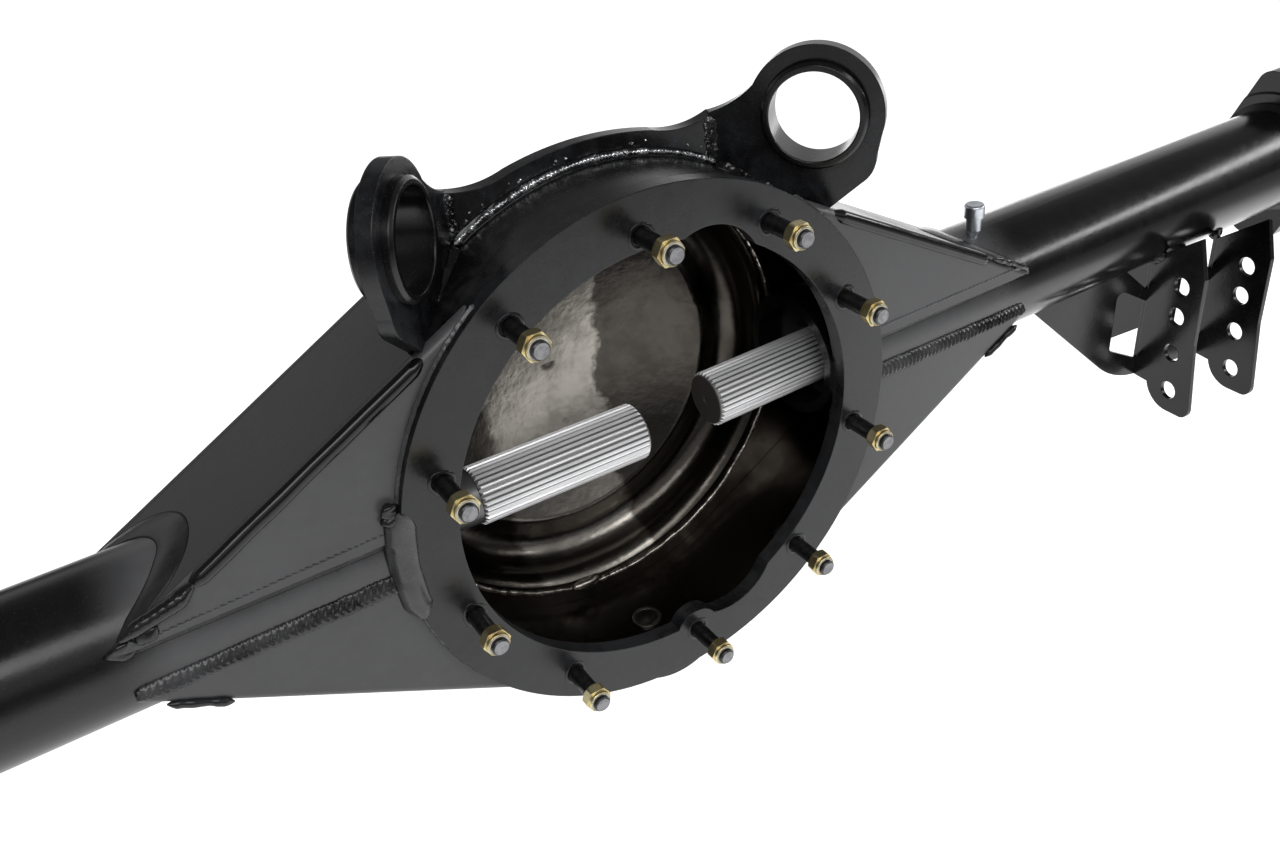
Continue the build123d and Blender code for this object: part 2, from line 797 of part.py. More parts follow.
def axle_shaft(inner_x):
    """Right-hand style shaft forged in one with its wheel flange; inner_x is its splined end."""
    face = wheel_face_x()
    back = face - wheel_flange_t
    seat_end = bearing_x + bearing_t / 2 - race_setback
    seat_start = seat_end - seat_length
    shaft = axle_cylinder(shaft_r, inner_x + spline_length - 2, seat_start - taper_length)
    taper = Cone(shaft_r, bearing_inner_r, taper_length, align=(Align.CENTER, Align.CENTER, Align.MIN))
    taper = Pos(seat_start - taper_length, 0, 0) * Rot(0, 90, 0) * taper
    seat = axle_cylinder(bearing_inner_r, seat_start, seat_end)
    shoulder = axle_cylinder(bearing_inner_r + shoulder_rise, seat_end, back)
    flange = axle_cylinder(wheel_flange_r, back, face)
    flange = chamfer(flange.edges().filter_by(GeomType.CIRCLE), wheel_edge_chamfer)
    pilot = axle_cylinder(wheel_pilot_r, face, face + wheel_pilot_t)
    pilot = chamfer(pilot.faces().sort_by(Axis.X)[-1].edges(), wheel_tip_chamfer)
    part = splined_end(inner_x, 1) + shaft + taper + seat + shoulder + flange + pilot
    for y, z in wheel_stud_points():
        part -= Pos(face, y, z) * Rot(0, 90, 0) * Cylinder(wheel_knurl_r, 4 * wheel_flange_t)
    for i in range(2):
        y, z = polar(wheel_stud_circle_r - wheel_relief_inset, wheel_relief_angle + 180 * i)
        part -= Pos(face, y, z) * Rot(0, 90, 0) * Cylinder(wheel_relief_r, 4 * wheel_flange_t)
    return part


def wheel_stud_points():
    return [polar(wheel_stud_circle_r, 90 + 360 / wheel_stud_count * i) for i in range(wheel_stud_count)]


def wheel_studs():
    face = wheel_face_x()
    studs = []
    for y, z in wheel_stud_points():
        place = Pos(0, y, z)
        back = face - wheel_flange_t
        head = axle_cylinder(wheel_stud_head_r, back - wheel_stud_head_t, back)
        knurl = axle_cylinder(wheel_knurl_r, back, face)
        shank = axle_cylinder(wheel_stud_r, face, face + wheel_stud_reach)
        shank = chamfer(shank.faces().sort_by(Axis.X)[-1].edges(), wheel_tip_chamfer)
        studs.append(place * (head + knurl + shank))
    return studs


def bearing_inner():
    outer = bearing_r - bearing_race_t - bearing_gap
    half = bearing_t / 2 - race_setback
    race = axle_cylinder(outer, bearing_x - half, bearing_x + half)
    return race - axle_cylinder(bearing_inner_r, bearing_x - bearing_t, bearing_x + bearing_t)


def lock_ring():
    """Ring pressed on the shaft inboard of the bearing to hold its inner race."""
    x1 = bearing_back_x() + race_setback
    ring = axle_cylinder(lock_ring_r, x1 - lock_ring_t, x1)
    return ring - axle_cylinder(bearing_inner_r, x1 - 2 * lock_ring_t, x1 + lock_ring_t)


def hung(part):
    """Moves right-hand axle pieces to the tube, hanging about the bearing centre."""
    to_centre = Pos(-bearing_x, 0, 0)
    place = Pos(bearing_x, axle_depth, 0) * Rot(0, -shaft_hang, 0) * to_centre
    if isinstance(part, list):
        return [place * p for p in part]
    return place * part


def both(name, part):
    """The right-hand piece and its mirror image, by node name."""
    if isinstance(part, list):
        return {f"right_{name}": part, f"left_{name}": [mirrored(p) for p in part]}
    return {f"right_{name}": part, f"left_{name}": mirrored(part)}


def nodes():
    points = stud_points()
    found = {
        "face_flange": face_flange(),
        "carrier_studs": [carrier_stud(p) for p in points],
        "carrier_nuts": [carrier_nut(p) for p in points],
        "carrier_nut_inserts": [nut_insert(p) for p in points],
        "top_plate": wrap_plate(1),
        "bottom_plate": bottom_plate(),
        "back_plate": back_plate(),
        "back_cover": back_cover(),
        "drain_pad": drain_pad(),
        "drain_bung": drain_bung(),
        "drain_plug": drain_plug(),
        "bridge_plate": bridge(),
        "breather_body": breather_body(),
        "breather_cap": breather_cap(),
        "right_bracket_web": right_bracket_web(),
        "left_bracket_web": mirrored(right_bracket_plain_web()),
        "right_rear_gusset": right_rear_gusset(),
    }
    found |= both("upper_front_plate", front_plate(1))
    found |= both("lower_front_plate", front_plate(-1))
    found |= both("ear", right_ear())
    found |= both("ear_sleeve", right_ear_sleeve())
    found |= {"right_tube": right_tube() - right_breather_hole(), "left_tube": mirrored(right_tube())}
    found |= both("bracket_inner_plate", right_bracket_inner())
    found |= both("bracket_outer_plate", right_bracket_outer())
    found |= both("housing_end", right_housing_end())
    found |= both("bearing_outer_race", right_bearing_outer())
    found |= both("oil_seal", right_seal())
    found |= both("bearing_retainer", right_retainer())
    found |= both("retainer_studs", right_retainer_studs())
    found |= both("retainer_nuts", right_retainer_nuts())
    found |= {
        "right_axle_shaft": hung(axle_shaft(right_shaft_end_x)),
        "left_axle_shaft": mirrored(hung(axle_shaft(-left_shaft_end_x))),
    }
    found |= both("bearing_inner_race", hung(bearing_inner()))
    found |= both("bearing_lock_ring", hung(lock_ring()))
    found |= both("wheel_studs", hung(wheel_studs()))
    return found


os.makedirs("parts", exist_ok=True)
for name, shape in nodes().items():
    if isinstance(shape, list):
        shape = Compound(children=shape)
    export_step(shape, f"parts/{name}.step")
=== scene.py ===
"""Looks of the fabricated rear axle housing: paint, bare steel, plated fasteners and weld beads.

The bead builders work in millimetres, and mesh_object turns their points into metres. Settings,
materials, lamps and the camera are in metres. The frame is the part's own: X along the axle, Y
into the housing, Z up, with the origin at the middle of the carrier opening.
"""

import math

import bpy
import numpy as np
from bpy.props import FloatProperty, FloatVectorProperty, IntProperty, PointerProperty
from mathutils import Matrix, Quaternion, Vector


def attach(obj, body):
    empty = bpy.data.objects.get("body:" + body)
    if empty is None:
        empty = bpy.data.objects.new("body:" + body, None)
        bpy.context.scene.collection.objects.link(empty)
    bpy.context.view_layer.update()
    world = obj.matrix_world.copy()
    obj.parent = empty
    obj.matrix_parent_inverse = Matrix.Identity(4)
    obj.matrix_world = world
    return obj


bl_info = {
    "name": "Axle housing looks",
    "version": (1, 0, 0),
    "blender": (4, 5, 0),
    "location": "View3D > Sidebar > Axle housing",
    "description": "Weld beads, paint and steel finishes for a fabricated rear axle housing",
    "category": "Object",
}

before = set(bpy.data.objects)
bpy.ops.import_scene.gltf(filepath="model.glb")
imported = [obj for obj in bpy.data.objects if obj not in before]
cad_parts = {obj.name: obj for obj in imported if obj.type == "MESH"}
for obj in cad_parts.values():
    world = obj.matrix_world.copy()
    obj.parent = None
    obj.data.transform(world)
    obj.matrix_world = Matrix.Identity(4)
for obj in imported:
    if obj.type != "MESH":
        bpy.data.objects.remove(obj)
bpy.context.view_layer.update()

MM = 0.001
SIDES = (("left", -1), ("right", 1))

# Sizes of the part that the beads follow, in millimetres
TUBE_R = 38.1
AXLE_DEPTH = 46.4
BOX_R = 150.0
BOX_FRONT = 5.5
BOX_INNER_BACK = 80.95
TIP_X = 282.0
SLOT_TOP = 16.5
SLOT_BOTTOM = -10.5
FLANGE_R = 152.0
FLANGE_WELD_R = 151.5
BRIDGE_Y = 56.0
BRIDGE_END_X = 76.66
ARM_PLATE_T = 7.9
EAR_TURN = math.radians(48.7)
EAR_FRONT = (113.56, 14.0)
COVER_RIM_R = 132.0
BRACKET_ORIGIN = (430.0, -6.0)
BRACKET_TURN = math.radians(8.8)
BRACKET_WIDTH = 64.1
TANGENT_TOP = math.radians(61.59)
TANGENT_BOTTOM = math.radians(60.58)
FOLD_R = 4.2
FOLD_DEPTH = 2.5
FOLD_INSET = 2.9

# Borders between finishes, and of the painted shade in the spline grooves, in metres
BEARING_X = 0.5957
SHAFT_SLOPE = math.tan(math.radians(0.78))
# Root and tip radii of the splines, between which the painted shade in the grooves fades out
SPLINE_ROOT, SPLINE_TIP = 0.01515, 0.0157
SPLINE_LIMIT = 0.20
FLANGE_STEEL = (0.40, 0.45)
BARE_LIMIT = 0.235
BARE_FRONT = 0.0098
# Where the front plates' lighter paint colour reaches onto the tubes, between the slots' beads
PLATE_TONE_START, PLATE_TONE_END = (0.1350, 0.1430), (0.2900, 0.2550)
# Where the bare steel of the cover turns darker, to the right and to the left of its middle
DARK_SIDE_RIGHT, DARK_SIDE_LEFT = (0.044, 0.049), (-0.030, -0.040)
FINE_BUMP = 0.00003
PAINT_BUMP = 0.00004


def colour_setting(name, description, default):
    return FloatVectorProperty(
        name=name, description=description, subtype="COLOR", size=3, min=0.0, max=1.0,
        default=default)


def length_setting(name, description, default):
    return FloatProperty(
        name=name, description=description, default=default, unit="LENGTH", subtype="DISTANCE")


def angle_setting(name, description, degrees):
    return FloatProperty(
        name=name, description=description, default=math.radians(degrees), unit="ROTATION",
        subtype="ANGLE")


class PaintSettings(bpy.types.PropertyGroup):
    """Black paint on the welded housing"""
    colour: colour_setting("Paint colour", "Colour of the clean paint", (0.0020, 0.0020, 0.0023))
    haze: colour_setting(
        "Haze colour", "Colour of dust and dry spray on the gloss paint", (0.0060, 0.0060, 0.0064))
    flange_haze: colour_setting(
        "Flange haze", "Colour of the haze on the machined face flange", (0.017, 0.018, 0.020))
    # The front plates' paint is given a lighter colour and haze than the rest of the housing.
    plate_colour: colour_setting(
        "Plate colour", "Colour of the thinner paint on the front plates", (0.050, 0.0505, 0.0525))
    plate_haze: colour_setting(
        "Plate haze", "Colour of the haze on the front plates", (0.070, 0.071, 0.074))
    bridge_haze: colour_setting(
        "Bridge haze", "Colour of the haze on the bridge and the ears", (0.018, 0.0195, 0.023))
    skin_haze: colour_setting(
        "Rolled plate haze", "Colour of the haze on the rolled top and bottom plates",
        (0.020, 0.020, 0.020))
    roughness: FloatProperty(
        name="Roughness", description="Roughness of the smooth paint", default=0.18, min=0.0,
        max=1.0)
    edge_radius: length_setting(
        "Edge radius", "Radius that the paint gives to a plate edge", 0.0008)


class SteelSettings(bpy.types.PropertyGroup):
    """Bare and plated steel"""
    bowl_colour: colour_setting("Bowl colour", "Bare steel of the back cover", (0.33, 0.31, 0.28))
    scale_colour: colour_setting(
        "Scale colour", "Dark mill scale inside the rolled plates", (0.11, 0.10, 0.09))
    shaft_colour: colour_setting(
        "Shaft colour", "Ground steel of the axle shafts", (0.97, 0.97, 0.98))
    yellow_zinc: colour_setting(
        "Yellow zinc", "Chromated plating of the nuts", (0.80, 0.68, 0.38))


class WeldSettings(bpy.types.PropertyGroup):
    """Sizes of the weld beads"""
    slot_rise: length_setting(
        "Slot bead height", "How far the beads along the tube slots stand out", 0.0010)
    slot_pitch: length_setting(
        "Slot ripple pitch", "Distance between the ripples of the slot beads", 0.0033)
    bridge_width: length_setting(
        "Bridge bead", "Leg of the fillet at the foot of the bridge", 0.0042)
    collar_width: length_setting(
        "Collar bead", "Widest leg of the fillet where the tube leaves the housing", 0.0125)
    tip_radius: length_setting(
        "Tip bead", "Radius of the beads round the tips of the wings", 0.0026)
    seed: IntProperty(name="Seed", description="Seed of the beads' unevenness", default=7, min=0)


class StageSettings(bpy.types.PropertyGroup):
    """Camera, lamps and floor"""
    lens: FloatProperty(
        name="Lens", description="Focal length for a 36 mm sensor", default=32.05, unit="CAMERA")
    turn: angle_setting("Camera turn", "Heading of the camera from +Y towards +X", 29.14)
    tilt: angle_setting("Camera tilt", "How far the camera looks down", 32.46)
    roll: angle_setting("Camera roll", "Roll of the camera about its own axis", -6.04)
    floor_height: length_setting("Floor height", "Height of the floor under the part", -0.42)


# Curves and beads, in millimetres


def wander(count, step, wavelength, seed):
    """Smooth random values between -1 and 1, one per step of a path."""
    rng = np.random.default_rng(seed + 1000)
    knots = max(4, int(count * step / wavelength) + 4)
    values = rng.uniform(-1, 1, knots)
    place = np.linspace(0, knots - 1.001, count)
    low = place.astype(int)
    part = place - low
    part = part * part * (3 - 2 * part)
    return values[low] * (1 - part) + values[np.minimum(low + 1, knots - 1)] * part


def lengths(points):
    """Distance along a path at each of its points."""
    return np.concatenate([[0], np.cumsum(np.linalg.norm(np.diff(points, axis=0), axis=1))])


def walk(curve, start, end, step):
    """Points of curve(t) at an even distance, with the parameter of each."""
    t = np.linspace(start, end, 400)
    along = lengths(np.array([curve(a) for a in t], float))
    even = np.linspace(0, along[-1], max(8, int(along[-1] / step) + 1))
    t_even = np.interp(even, along, t)
    return np.array([curve(a) for a in t_even], float), t_even


def bend(corners, step):
    """An even, smooth path through a few points."""
    corners = np.array(corners, float)
    ends = np.concatenate(
        [[2 * corners[0] - corners[1]], corners, [2 * corners[-1] - corners[-2]]])

    def curve(t):
        i = min(int(t), len(corners) - 2)
        f = t - i
        a, b, c, d = ends[i:i + 4]
        return 0.5 * (2 * b + (c - a) * f + (2 * a - 5 * b + 4 * c - d) * f ** 2
                      + (3 * b - a - 3 * c + d) * f ** 3)

    return walk(curve, 0, len(corners) - 1.0001, step)[0]


def unit(vectors):
    return vectors / np.linalg.norm(vectors, axis=-1, keepdims=True)


def constant(vector, points):
    return np.tile(np.array(vector, float), (len(points), 1))


def tube_normal(points):
    """Outward normals of the axle tube at points on it."""
    return (points - (0, AXLE_DEPTH, 0)) * (0, 1, 1)


def box_normal(points):
    """Outward normals of the round box at points on it."""
    return points * (1, 0, 1)


def tube_front(z):
    """Depth of the tube's front surface at a height."""
    return AXLE_DEPTH - np.sqrt(TUBE_R ** 2 - z ** 2)


def fade(along, reach, least):
    """1 along a bead, falling to a small value within a reach of its ends."""
    return np.clip(np.minimum(along, along[-1] - along) / reach, least, 1) ** 0.5


def scallops(phase, power):
    """Rounded crests, one for each whole step of the phase."""
    return np.abs(np.sin(np.pi * phase)) ** power - 0.6


def mesh_object(name, vertices, faces):
    """A smooth mesh from points in millimetres, riding on the housing."""
    mesh = bpy.data.meshes.new(name)
    mesh.from_pydata([tuple(v) for v in np.asarray(vertices) * MM], [], faces)
    mesh.validate()
    mesh.polygons.foreach_set("use_smooth", [True] * len(mesh.polygons))
    piece = bpy.data.objects.new(name, mesh)
    bpy.context.scene.collection.objects.link(piece)
    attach(piece, "housing")
    return piece


def strip(name, rings):
    """Closes a row of equal rings of points into one skin with capped ends."""
    count, size = rings.shape[:2]
    faces = []
    for i in range(count - 1):
        for j in range(size):
            k = (j + 1) % size
            faces.append((i * size + j, i * size + k, (i + 1) * size + k, (i + 1) * size + j))
    faces.append(tuple(range(size - 1, -1, -1)))
    faces.append(tuple((count - 1) * size + j for j in range(size)))
    return mesh_object(name, rings.reshape(-1, 3), faces)


def fillet_weld(name, points, side_a, side_b, width, *, pitch, ripple, bulge, jag, seed,
                samples=9, sink=0.4, leg_ratio=1.0, taper=1.0, crown=0.0):
    """A fillet bead in a corner. side_a and side_b are the outward normals of its two walls.

    A bulge of 0.5 gives a flat face and a larger one a full face. The taper is a share of the
    width, for the whole bead or for each point.
    """
    along = lengths(points)
    count = len(points)
    step = along[-1] / max(1, count - 1)
    tangent = unit(np.gradient(points, axis=0))
    side_a, side_b = unit(side_a), unit(side_b)
    leg_a = unit(np.cross(side_a, tangent))
    leg_a *= np.sign(np.sum(leg_a * side_b, axis=1, keepdims=True))
    leg_b = unit(np.cross(side_b, tangent))
    leg_b *= np.sign(np.sum(leg_b * side_a, axis=1, keepdims=True))
    ends = fade(along, width * 0.8, 0.05)
    reach_a = width * taper * ends * (1 + jag * wander(count, step, width, seed))
    reach_b = width * leg_ratio * taper * ends * (1 + jag * wander(count, step, width, seed + 50))
    swell = 1 + 0.5 * jag * wander(count, step, 3 * width, seed + 90)
    shift = pitch * 0.35 * wander(count, step, 4 * pitch, seed + 20)
    outward = unit(leg_a + leg_b)
    to_a, to_b = leg_a * reach_a[:, None], leg_b * reach_b[:, None]
    corner = points + (to_a + to_b) * bulge
    rings = []
    for u in np.linspace(0, 1, samples):
        line = (points + to_a) * (1 - u) ** 2 + corner * 2 * u * (1 - u) + (points + to_b) * u ** 2
        bow = 1 - (2 * u - 1) ** 2
        scallop = scallops((along + shift) / pitch + 0.9 * bow * width / (2 * pitch), 0.7)
        rise = (ripple * scallop * (0.35 + 0.65 * bow) * swell + crown * bow * taper) * ends
        rings.append(line + outward * rise[:, None])
    rings.append(points - outward * sink)
    return strip(name, np.stack(rings, axis=1))


def band_weld(name, upper, lower, outward, *, pitch, rise, ripple, jag, seed,
              saw=0.0, flat=True, grain=0.0, sink=1.2, blunt=4.0, crest=None):
    """A bead laid over a seam, between an upper and a lower line on the surfaces beside it.

    saw is the depth of the teeth along its upper edge. A crest line pulls its middle outwards.
    """
    along = lengths(upper)
    count = len(upper)
    step = along[-1] / max(1, count - 1)
    across = unit(lower - upper)
    out = unit(outward)
    ends = fade(along, blunt, 0.02)
    middle = (upper + lower) / 2
    upper = middle + (upper - middle) * (0.35 + 0.65 * ends)[:, None]
    lower = middle + (lower - middle) * (0.35 + 0.65 * ends)[:, None]
    phase = along / pitch + 0.3 * wander(count, step, 4 * pitch, seed + 20)
    tooth = phase - np.floor(phase)
    top = upper - across * (saw * tooth + jag * wander(count, step, 2 * pitch, seed))[:, None]
    foot = lower + across * (jag * wander(count, step, 2 * pitch, seed + 40))[:, None]
    swell = 1 + 0.25 * wander(count, step, 5 * pitch, seed + 60)
    rings = []
    for u in np.linspace(0, 1, 12):
        bow = 1 - (2 * u - 1) ** (4 if flat else 2)
        scallop = scallops(phase + 1.4 * abs(u - 0.5), 0.6)
        grit = grain * wander(count, step, 0.9, seed + 100 + int(40 * u))
        height = (rise * bow * swell + ripple * scallop * min(1.0, 3 * bow)
                  + grit * min(1.0, 2 * bow)) * ends
        line = top * (1 - u) + foot * u
        if crest is not None:
            line = top * (1 - u) ** 2 + crest * 2 * u * (1 - u) + foot * u ** 2
        rings.append(line + out * (height - 0.05)[:, None])
    rings.append((top + foot) / 2 - out * sink)
    return strip(name, np.stack(rings, axis=1))


def rope_weld(name, points, radius, seed, ripple, pitch, lumps, wander_by=0.25):
    """A round rough bead laid along a path."""
    along = lengths(points)
    count = len(points)
    step = along[-1] / max(1, count - 1)
    tangent = unit(np.gradient(points, axis=0))
    side = unit(np.cross(tangent, constant((0.0, -0.3, 1.0), points)))
    up = unit(np.cross(side, tangent))
    ends = fade(along, radius * 2, 0.05)
    size = radius * ends * (1 + lumps * wander(count, step, 2.5 * radius, seed))
    drift = wander_by * radius * wander(count, step, 6 * radius, seed + 5)
    shift = 0.2 * wander(count, step, 3 * pitch, seed + 9)
    rings = []
    for angle in np.linspace(0, 2 * np.pi, 16, endpoint=False):
        r = size + ripple * scallops(along / pitch + 0.4 * np.sin(angle) + shift, 0.7) * ends
        rings.append(points + side * (r * np.cos(angle) + drift)[:, None]
                     + up * (r * np.sin(angle))[:, None])
    return strip(name, np.stack(rings, axis=1))


def blob(name, centre, radii, axis_x, axis_y, seed, rough):
    """A lump of weld metal: a squashed ball with an uneven skin."""
    x = unit(np.array(axis_x, float))
    y = unit(np.array(axis_y, float) - x * np.dot(x, axis_y))
    axes = [axis * radius for axis, radius in zip((x, y, np.cross(x, y)), radii)]
    rng = np.random.default_rng(seed + 1000)
    waves = rng.normal(size=(7, 3)) * 2.4
    phases = rng.uniform(0, 6.3, 7)
    rows, columns = 14, 24
    points = []
    for i in range(rows + 1):
        polar = math.pi * i / rows
        for j in range(columns):
            turn = 2 * math.pi * j / columns
            d = np.array([math.sin(polar) * math.cos(turn), math.sin(polar) * math.sin(turn),
                          math.cos(polar)])
            swell = 1 + rough * np.mean(np.sin(waves @ d + phases)) * 2
            points.append(np.array(centre) + swell * (d @ axes))
    faces = []
    for i in range(rows):
        for j in range(columns):
            k = (j + 1) % columns
            faces.append((i * columns + j, (i + 1) * columns + j, (i + 1) * columns + k,
                          i * columns + k))
    return mesh_object(name, points, faces)


# Shader nodes


class Graph:
    """Short calls that build a shader node tree. A value is a socket or a plain number."""

    def __init__(self, tree):
        self.tree = tree
        tree.nodes.clear()

    def feed(self, target, value):
        """Links a socket to an input, or sets the input."""
        if isinstance(value, bpy.types.NodeSocket):
            self.tree.links.new(value, target)
        elif target.type == "RGBA":
            target.default_value = (*value[:3], 1.0)
        else:
            target.default_value = value

    def add(self, kind, **values):
        """Adds a node and sets its plain attributes and, by name, its input sockets."""
        node = self.tree.nodes.new(kind)
        node.location = (200 * len(self.tree.nodes), 0)
        for name, value in values.items():
            if hasattr(node, name):
                setattr(node, name, value)
            else:
                self.feed(node.inputs[name.replace("_", " ")], value)
        return node

    def math(self, operation, *values, clamp=False):
        node = self.add("ShaderNodeMath", operation=operation, use_clamp=clamp)
        for target, value in zip(node.inputs, values):
            self.feed(target, value)
        return node.outputs[0]

    def times(self, a, b):
        return self.math("MULTIPLY", a, b)

    def plus(self, a, b, clamp=False):
        return self.math("ADD", a, b, clamp=clamp)

    def times_plus(self, a, b, c, clamp=False):
        return self.math("MULTIPLY_ADD", a, b, c, clamp=clamp)

    def size(self, value):
        return self.math("ABSOLUTE", value)

    def rest_of(self, value):
        return self.math("SUBTRACT", 1.0, value)

    def length(self, a, b):
        return self.math("SQRT", self.plus(self.times(a, a), self.times(b, b)))

    def ramp(self, value, low, high):
        """0 below low, 1 above high, smooth between."""
        node = self.add("ShaderNodeMapRange", interpolation_type="SMOOTHSTEP", Value=value,
                        From_Min=low, From_Max=high)
        return node.outputs["Result"]

    def mix(self, factor, a, b):
        """Mixes two colours."""
        return self.mix_inputs(factor, a, b, (0, 6, 7), 2, data_type="RGBA")

    def mix_value(self, factor, a, b):
        return self.mix_inputs(factor, a, b, (0, 2, 3), 0)

    def mix_inputs(self, factor, a, b, places, result, **values):
        node = self.add("ShaderNodeMix", **values)
        for place, value in zip(places, (factor, a, b)):
            self.feed(node.inputs[place], value)
        return node.outputs[result]

    def noise(self, scale, detail=2.0, roughness=0.5, vector=None):
        node = self.add("ShaderNodeTexNoise", Vector=vector or self.vector, Scale=scale,
                        Detail=detail, Roughness=roughness)
        return node.outputs["Fac"]

    def axes(self, vector):
        return self.add("ShaderNodeSeparateXYZ", Vector=vector).outputs

    def true_normal(self):
        return self.axes(self.add("ShaderNodeNewGeometry").outputs["True Normal"])

    def towards(self, x, y, heading):
        """How near a level direction is to a heading, counted from -Y towards +X in degrees."""
        turn = math.radians(heading)
        return self.times_plus(x, math.sin(turn), self.times(y, -math.cos(turn)))

    def skin(self, group, **values):
        """A node of a shared skin, with its inputs set."""
        node = self.add("ShaderNodeGroup")
        node.node_tree = bpy.data.node_groups.get(group) or SKINS[group]()
        for name, value in {"Vector": self.vector, **values}.items():
            self.feed(node.inputs[name.replace("_", " ")], value)
        return node.outputs

    def finish(self, colour, roughness, height, depth, metallic=0.0, edge=0.0):
        """Feeds the shader, with a bump and a softened edge, and gives the material."""
        bump = self.add("ShaderNodeBump", Strength=1.0, Distance=depth, Height=height)
        if edge > 0:
            soft = self.add("ShaderNodeBevel", samples=6, Radius=edge)
            self.feed(bump.inputs["Normal"], soft.outputs["Normal"])
        for name, value in (("Base Color", colour), ("Roughness", roughness),
                            ("Metallic", metallic), ("Normal", bump.outputs["Normal"])):
            self.feed(self.shader.inputs[name], value)
        return self.material


def new_group(name, inputs, outputs):
    """A graph for a node group. An input is a name, a value and, for a number, its highest."""
    tree = bpy.data.node_groups.new(name, "ShaderNodeTree")
    sockets = tree.interface
    sockets.new_socket(name="Vector", in_out="INPUT", socket_type="NodeSocketVector")
    for label, value, highest in inputs:
        kind = "NodeSocketFloat" if highest else "NodeSocketColor"
        made = sockets.new_socket(name=label, in_out="INPUT", socket_type=kind)
        made.default_value = value
        if highest:
            made.min_value, made.max_value = 0.0, highest
    for label in outputs:
        kind = "NodeSocketColor" if label == "Color" else "NodeSocketFloat"
        sockets.new_socket(name=label, in_out="OUTPUT", socket_type=kind)
    g = Graph(tree)
    g.entry = g.add("NodeGroupInput").outputs
    g.vector = g.entry["Vector"]
    return g


def paint_skin():
    """Sprayed paint: orange peel, haze, dust specks and fine rub marks."""
    g = new_group("Paint_Skin", (
        ("Paint", (0.012, 0.012, 0.0135, 1), None), ("Haze", (0.035, 0.035, 0.036, 1), None),
        ("Haze Amount", 0.5, 1.0), ("Speck Amount", 0.3, 1.0), ("Base Roughness", 0.27, 1.0),
        ("Peel Depth", 1.0, 10.0)), ("Color", "Roughness", "Height"))
    cloud = g.noise(9.0, 4.0, 0.6)
    mist = g.noise(140.0, 3.0, 0.6)
    peel = g.noise(520.0, 1.5, 0.4)
    speck = g.noise(1500.0, 1.0, 0.5)
    stretched = g.add("ShaderNodeMapping", Vector=g.vector, Scale=(1.0, 7.0, 7.0))
    rub = g.noise(160.0, 3.0, 0.7, stretched.outputs["Vector"])
    haze = g.ramp(g.plus(g.times(cloud, 0.7), g.times(mist, 0.3)), 0.36, 0.66)
    haze = g.times(haze, g.entry["Haze Amount"])
    dots = g.times(g.ramp(speck, 0.70, 0.76), g.entry["Speck Amount"])
    colour = g.mix(haze, g.entry["Paint"], g.entry["Haze"])
    colour = g.mix(dots, colour, (0.16, 0.16, 0.155))
    rough = g.times_plus(haze, 0.16, g.entry["Base Roughness"])
    rough = g.times_plus(g.ramp(rub, 0.55, 0.75), 0.05, rough)
    rough = g.times_plus(dots, 0.3, rough, clamp=True)
    height = g.times(g.times_plus(cloud, 0.6, peel), g.entry["Peel Depth"])
    g.add("NodeGroupOutput", Color=colour, Roughness=rough, Height=height)
    return g.tree


def steel_skin():
    """Bare steel: mill scale clouds, stains, fine grain and scratches."""
    g = new_group("Steel_Skin", (
        ("Bright", (0.6, 0.6, 0.6, 1), None), ("Stain", (0.2, 0.17, 0.15, 1), None),
        ("Stain Amount", 0.5, 1.0), ("Cloud Scale", 20.0, 2000.0), ("Base Roughness", 0.3, 1.0)),
        ("Color", "Roughness", "Height", "Mask"))
    cloud = g.noise(g.entry["Cloud Scale"], 6.0, 0.62)
    grain = g.noise(1900.0, 2.0, 0.6)
    flecks = g.noise(420.0, 3.0, 0.7)
    stain = g.ramp(cloud, 0.40, 0.62)
    dots = g.ramp(flecks, 0.62, 0.70)
    mask = g.math("MAXIMUM", stain, g.times(dots, 0.6))
    mask = g.times(mask, g.entry["Stain Amount"])
    rough = g.times_plus(mask, 0.18, g.entry["Base Roughness"])
    g.add("NodeGroupOutput", Color=g.mix(mask, g.entry["Bright"], g.entry["Stain"]),
          Roughness=g.times_plus(grain, 0.08, rough, clamp=True),
          Height=g.times_plus(flecks, 0.6, grain), Mask=mask)
    return g.tree


SKINS = {"Paint_Skin": paint_skin, "Steel_Skin": steel_skin}


# Materials


def blank(name):
    """A graph for a new material, with a Principled shader and the part's own coordinates."""
    material = bpy.data.materials.new(name)
    material.use_nodes = True
    g = Graph(material.node_tree)
    g.material = material
    g.vector = g.add("ShaderNodeTexCoord").outputs["Object"]
    g.shader = g.add("ShaderNodeBsdfPrincipled")
    g.add("ShaderNodeOutputMaterial", Surface=g.shader.outputs["BSDF"])
    return g


def paint_material(name, haze=0.5, roughness=None, peel=1.0, speck=0.2, edge=True,
                   haze_colour=None, colour=None):
    settings = bpy.context.scene.axle_paint
    g = blank(name)
    skin = g.skin(
        "Paint_Skin", Paint=settings.colour if colour is None else colour,
        Haze=settings.haze if haze_colour is None else haze_colour, Haze_Amount=haze,
        Speck_Amount=speck, Peel_Depth=peel,
        Base_Roughness=settings.roughness if roughness is None else roughness)
    return g.finish(skin["Color"], skin["Roughness"], skin["Height"], PAINT_BUMP,
                    edge=settings.edge_radius if edge else 0.0)


def steel_material(name, bright, stain, amount, scale, roughness, edge=0.0):
    g = blank(name)
    skin = g.skin("Steel_Skin", Bright=bright, Stain=stain, Stain_Amount=amount,
                  Cloud_Scale=scale, Base_Roughness=roughness)
    return g.finish(skin["Color"], skin["Roughness"], skin["Height"], FINE_BUMP, 1.0, edge)


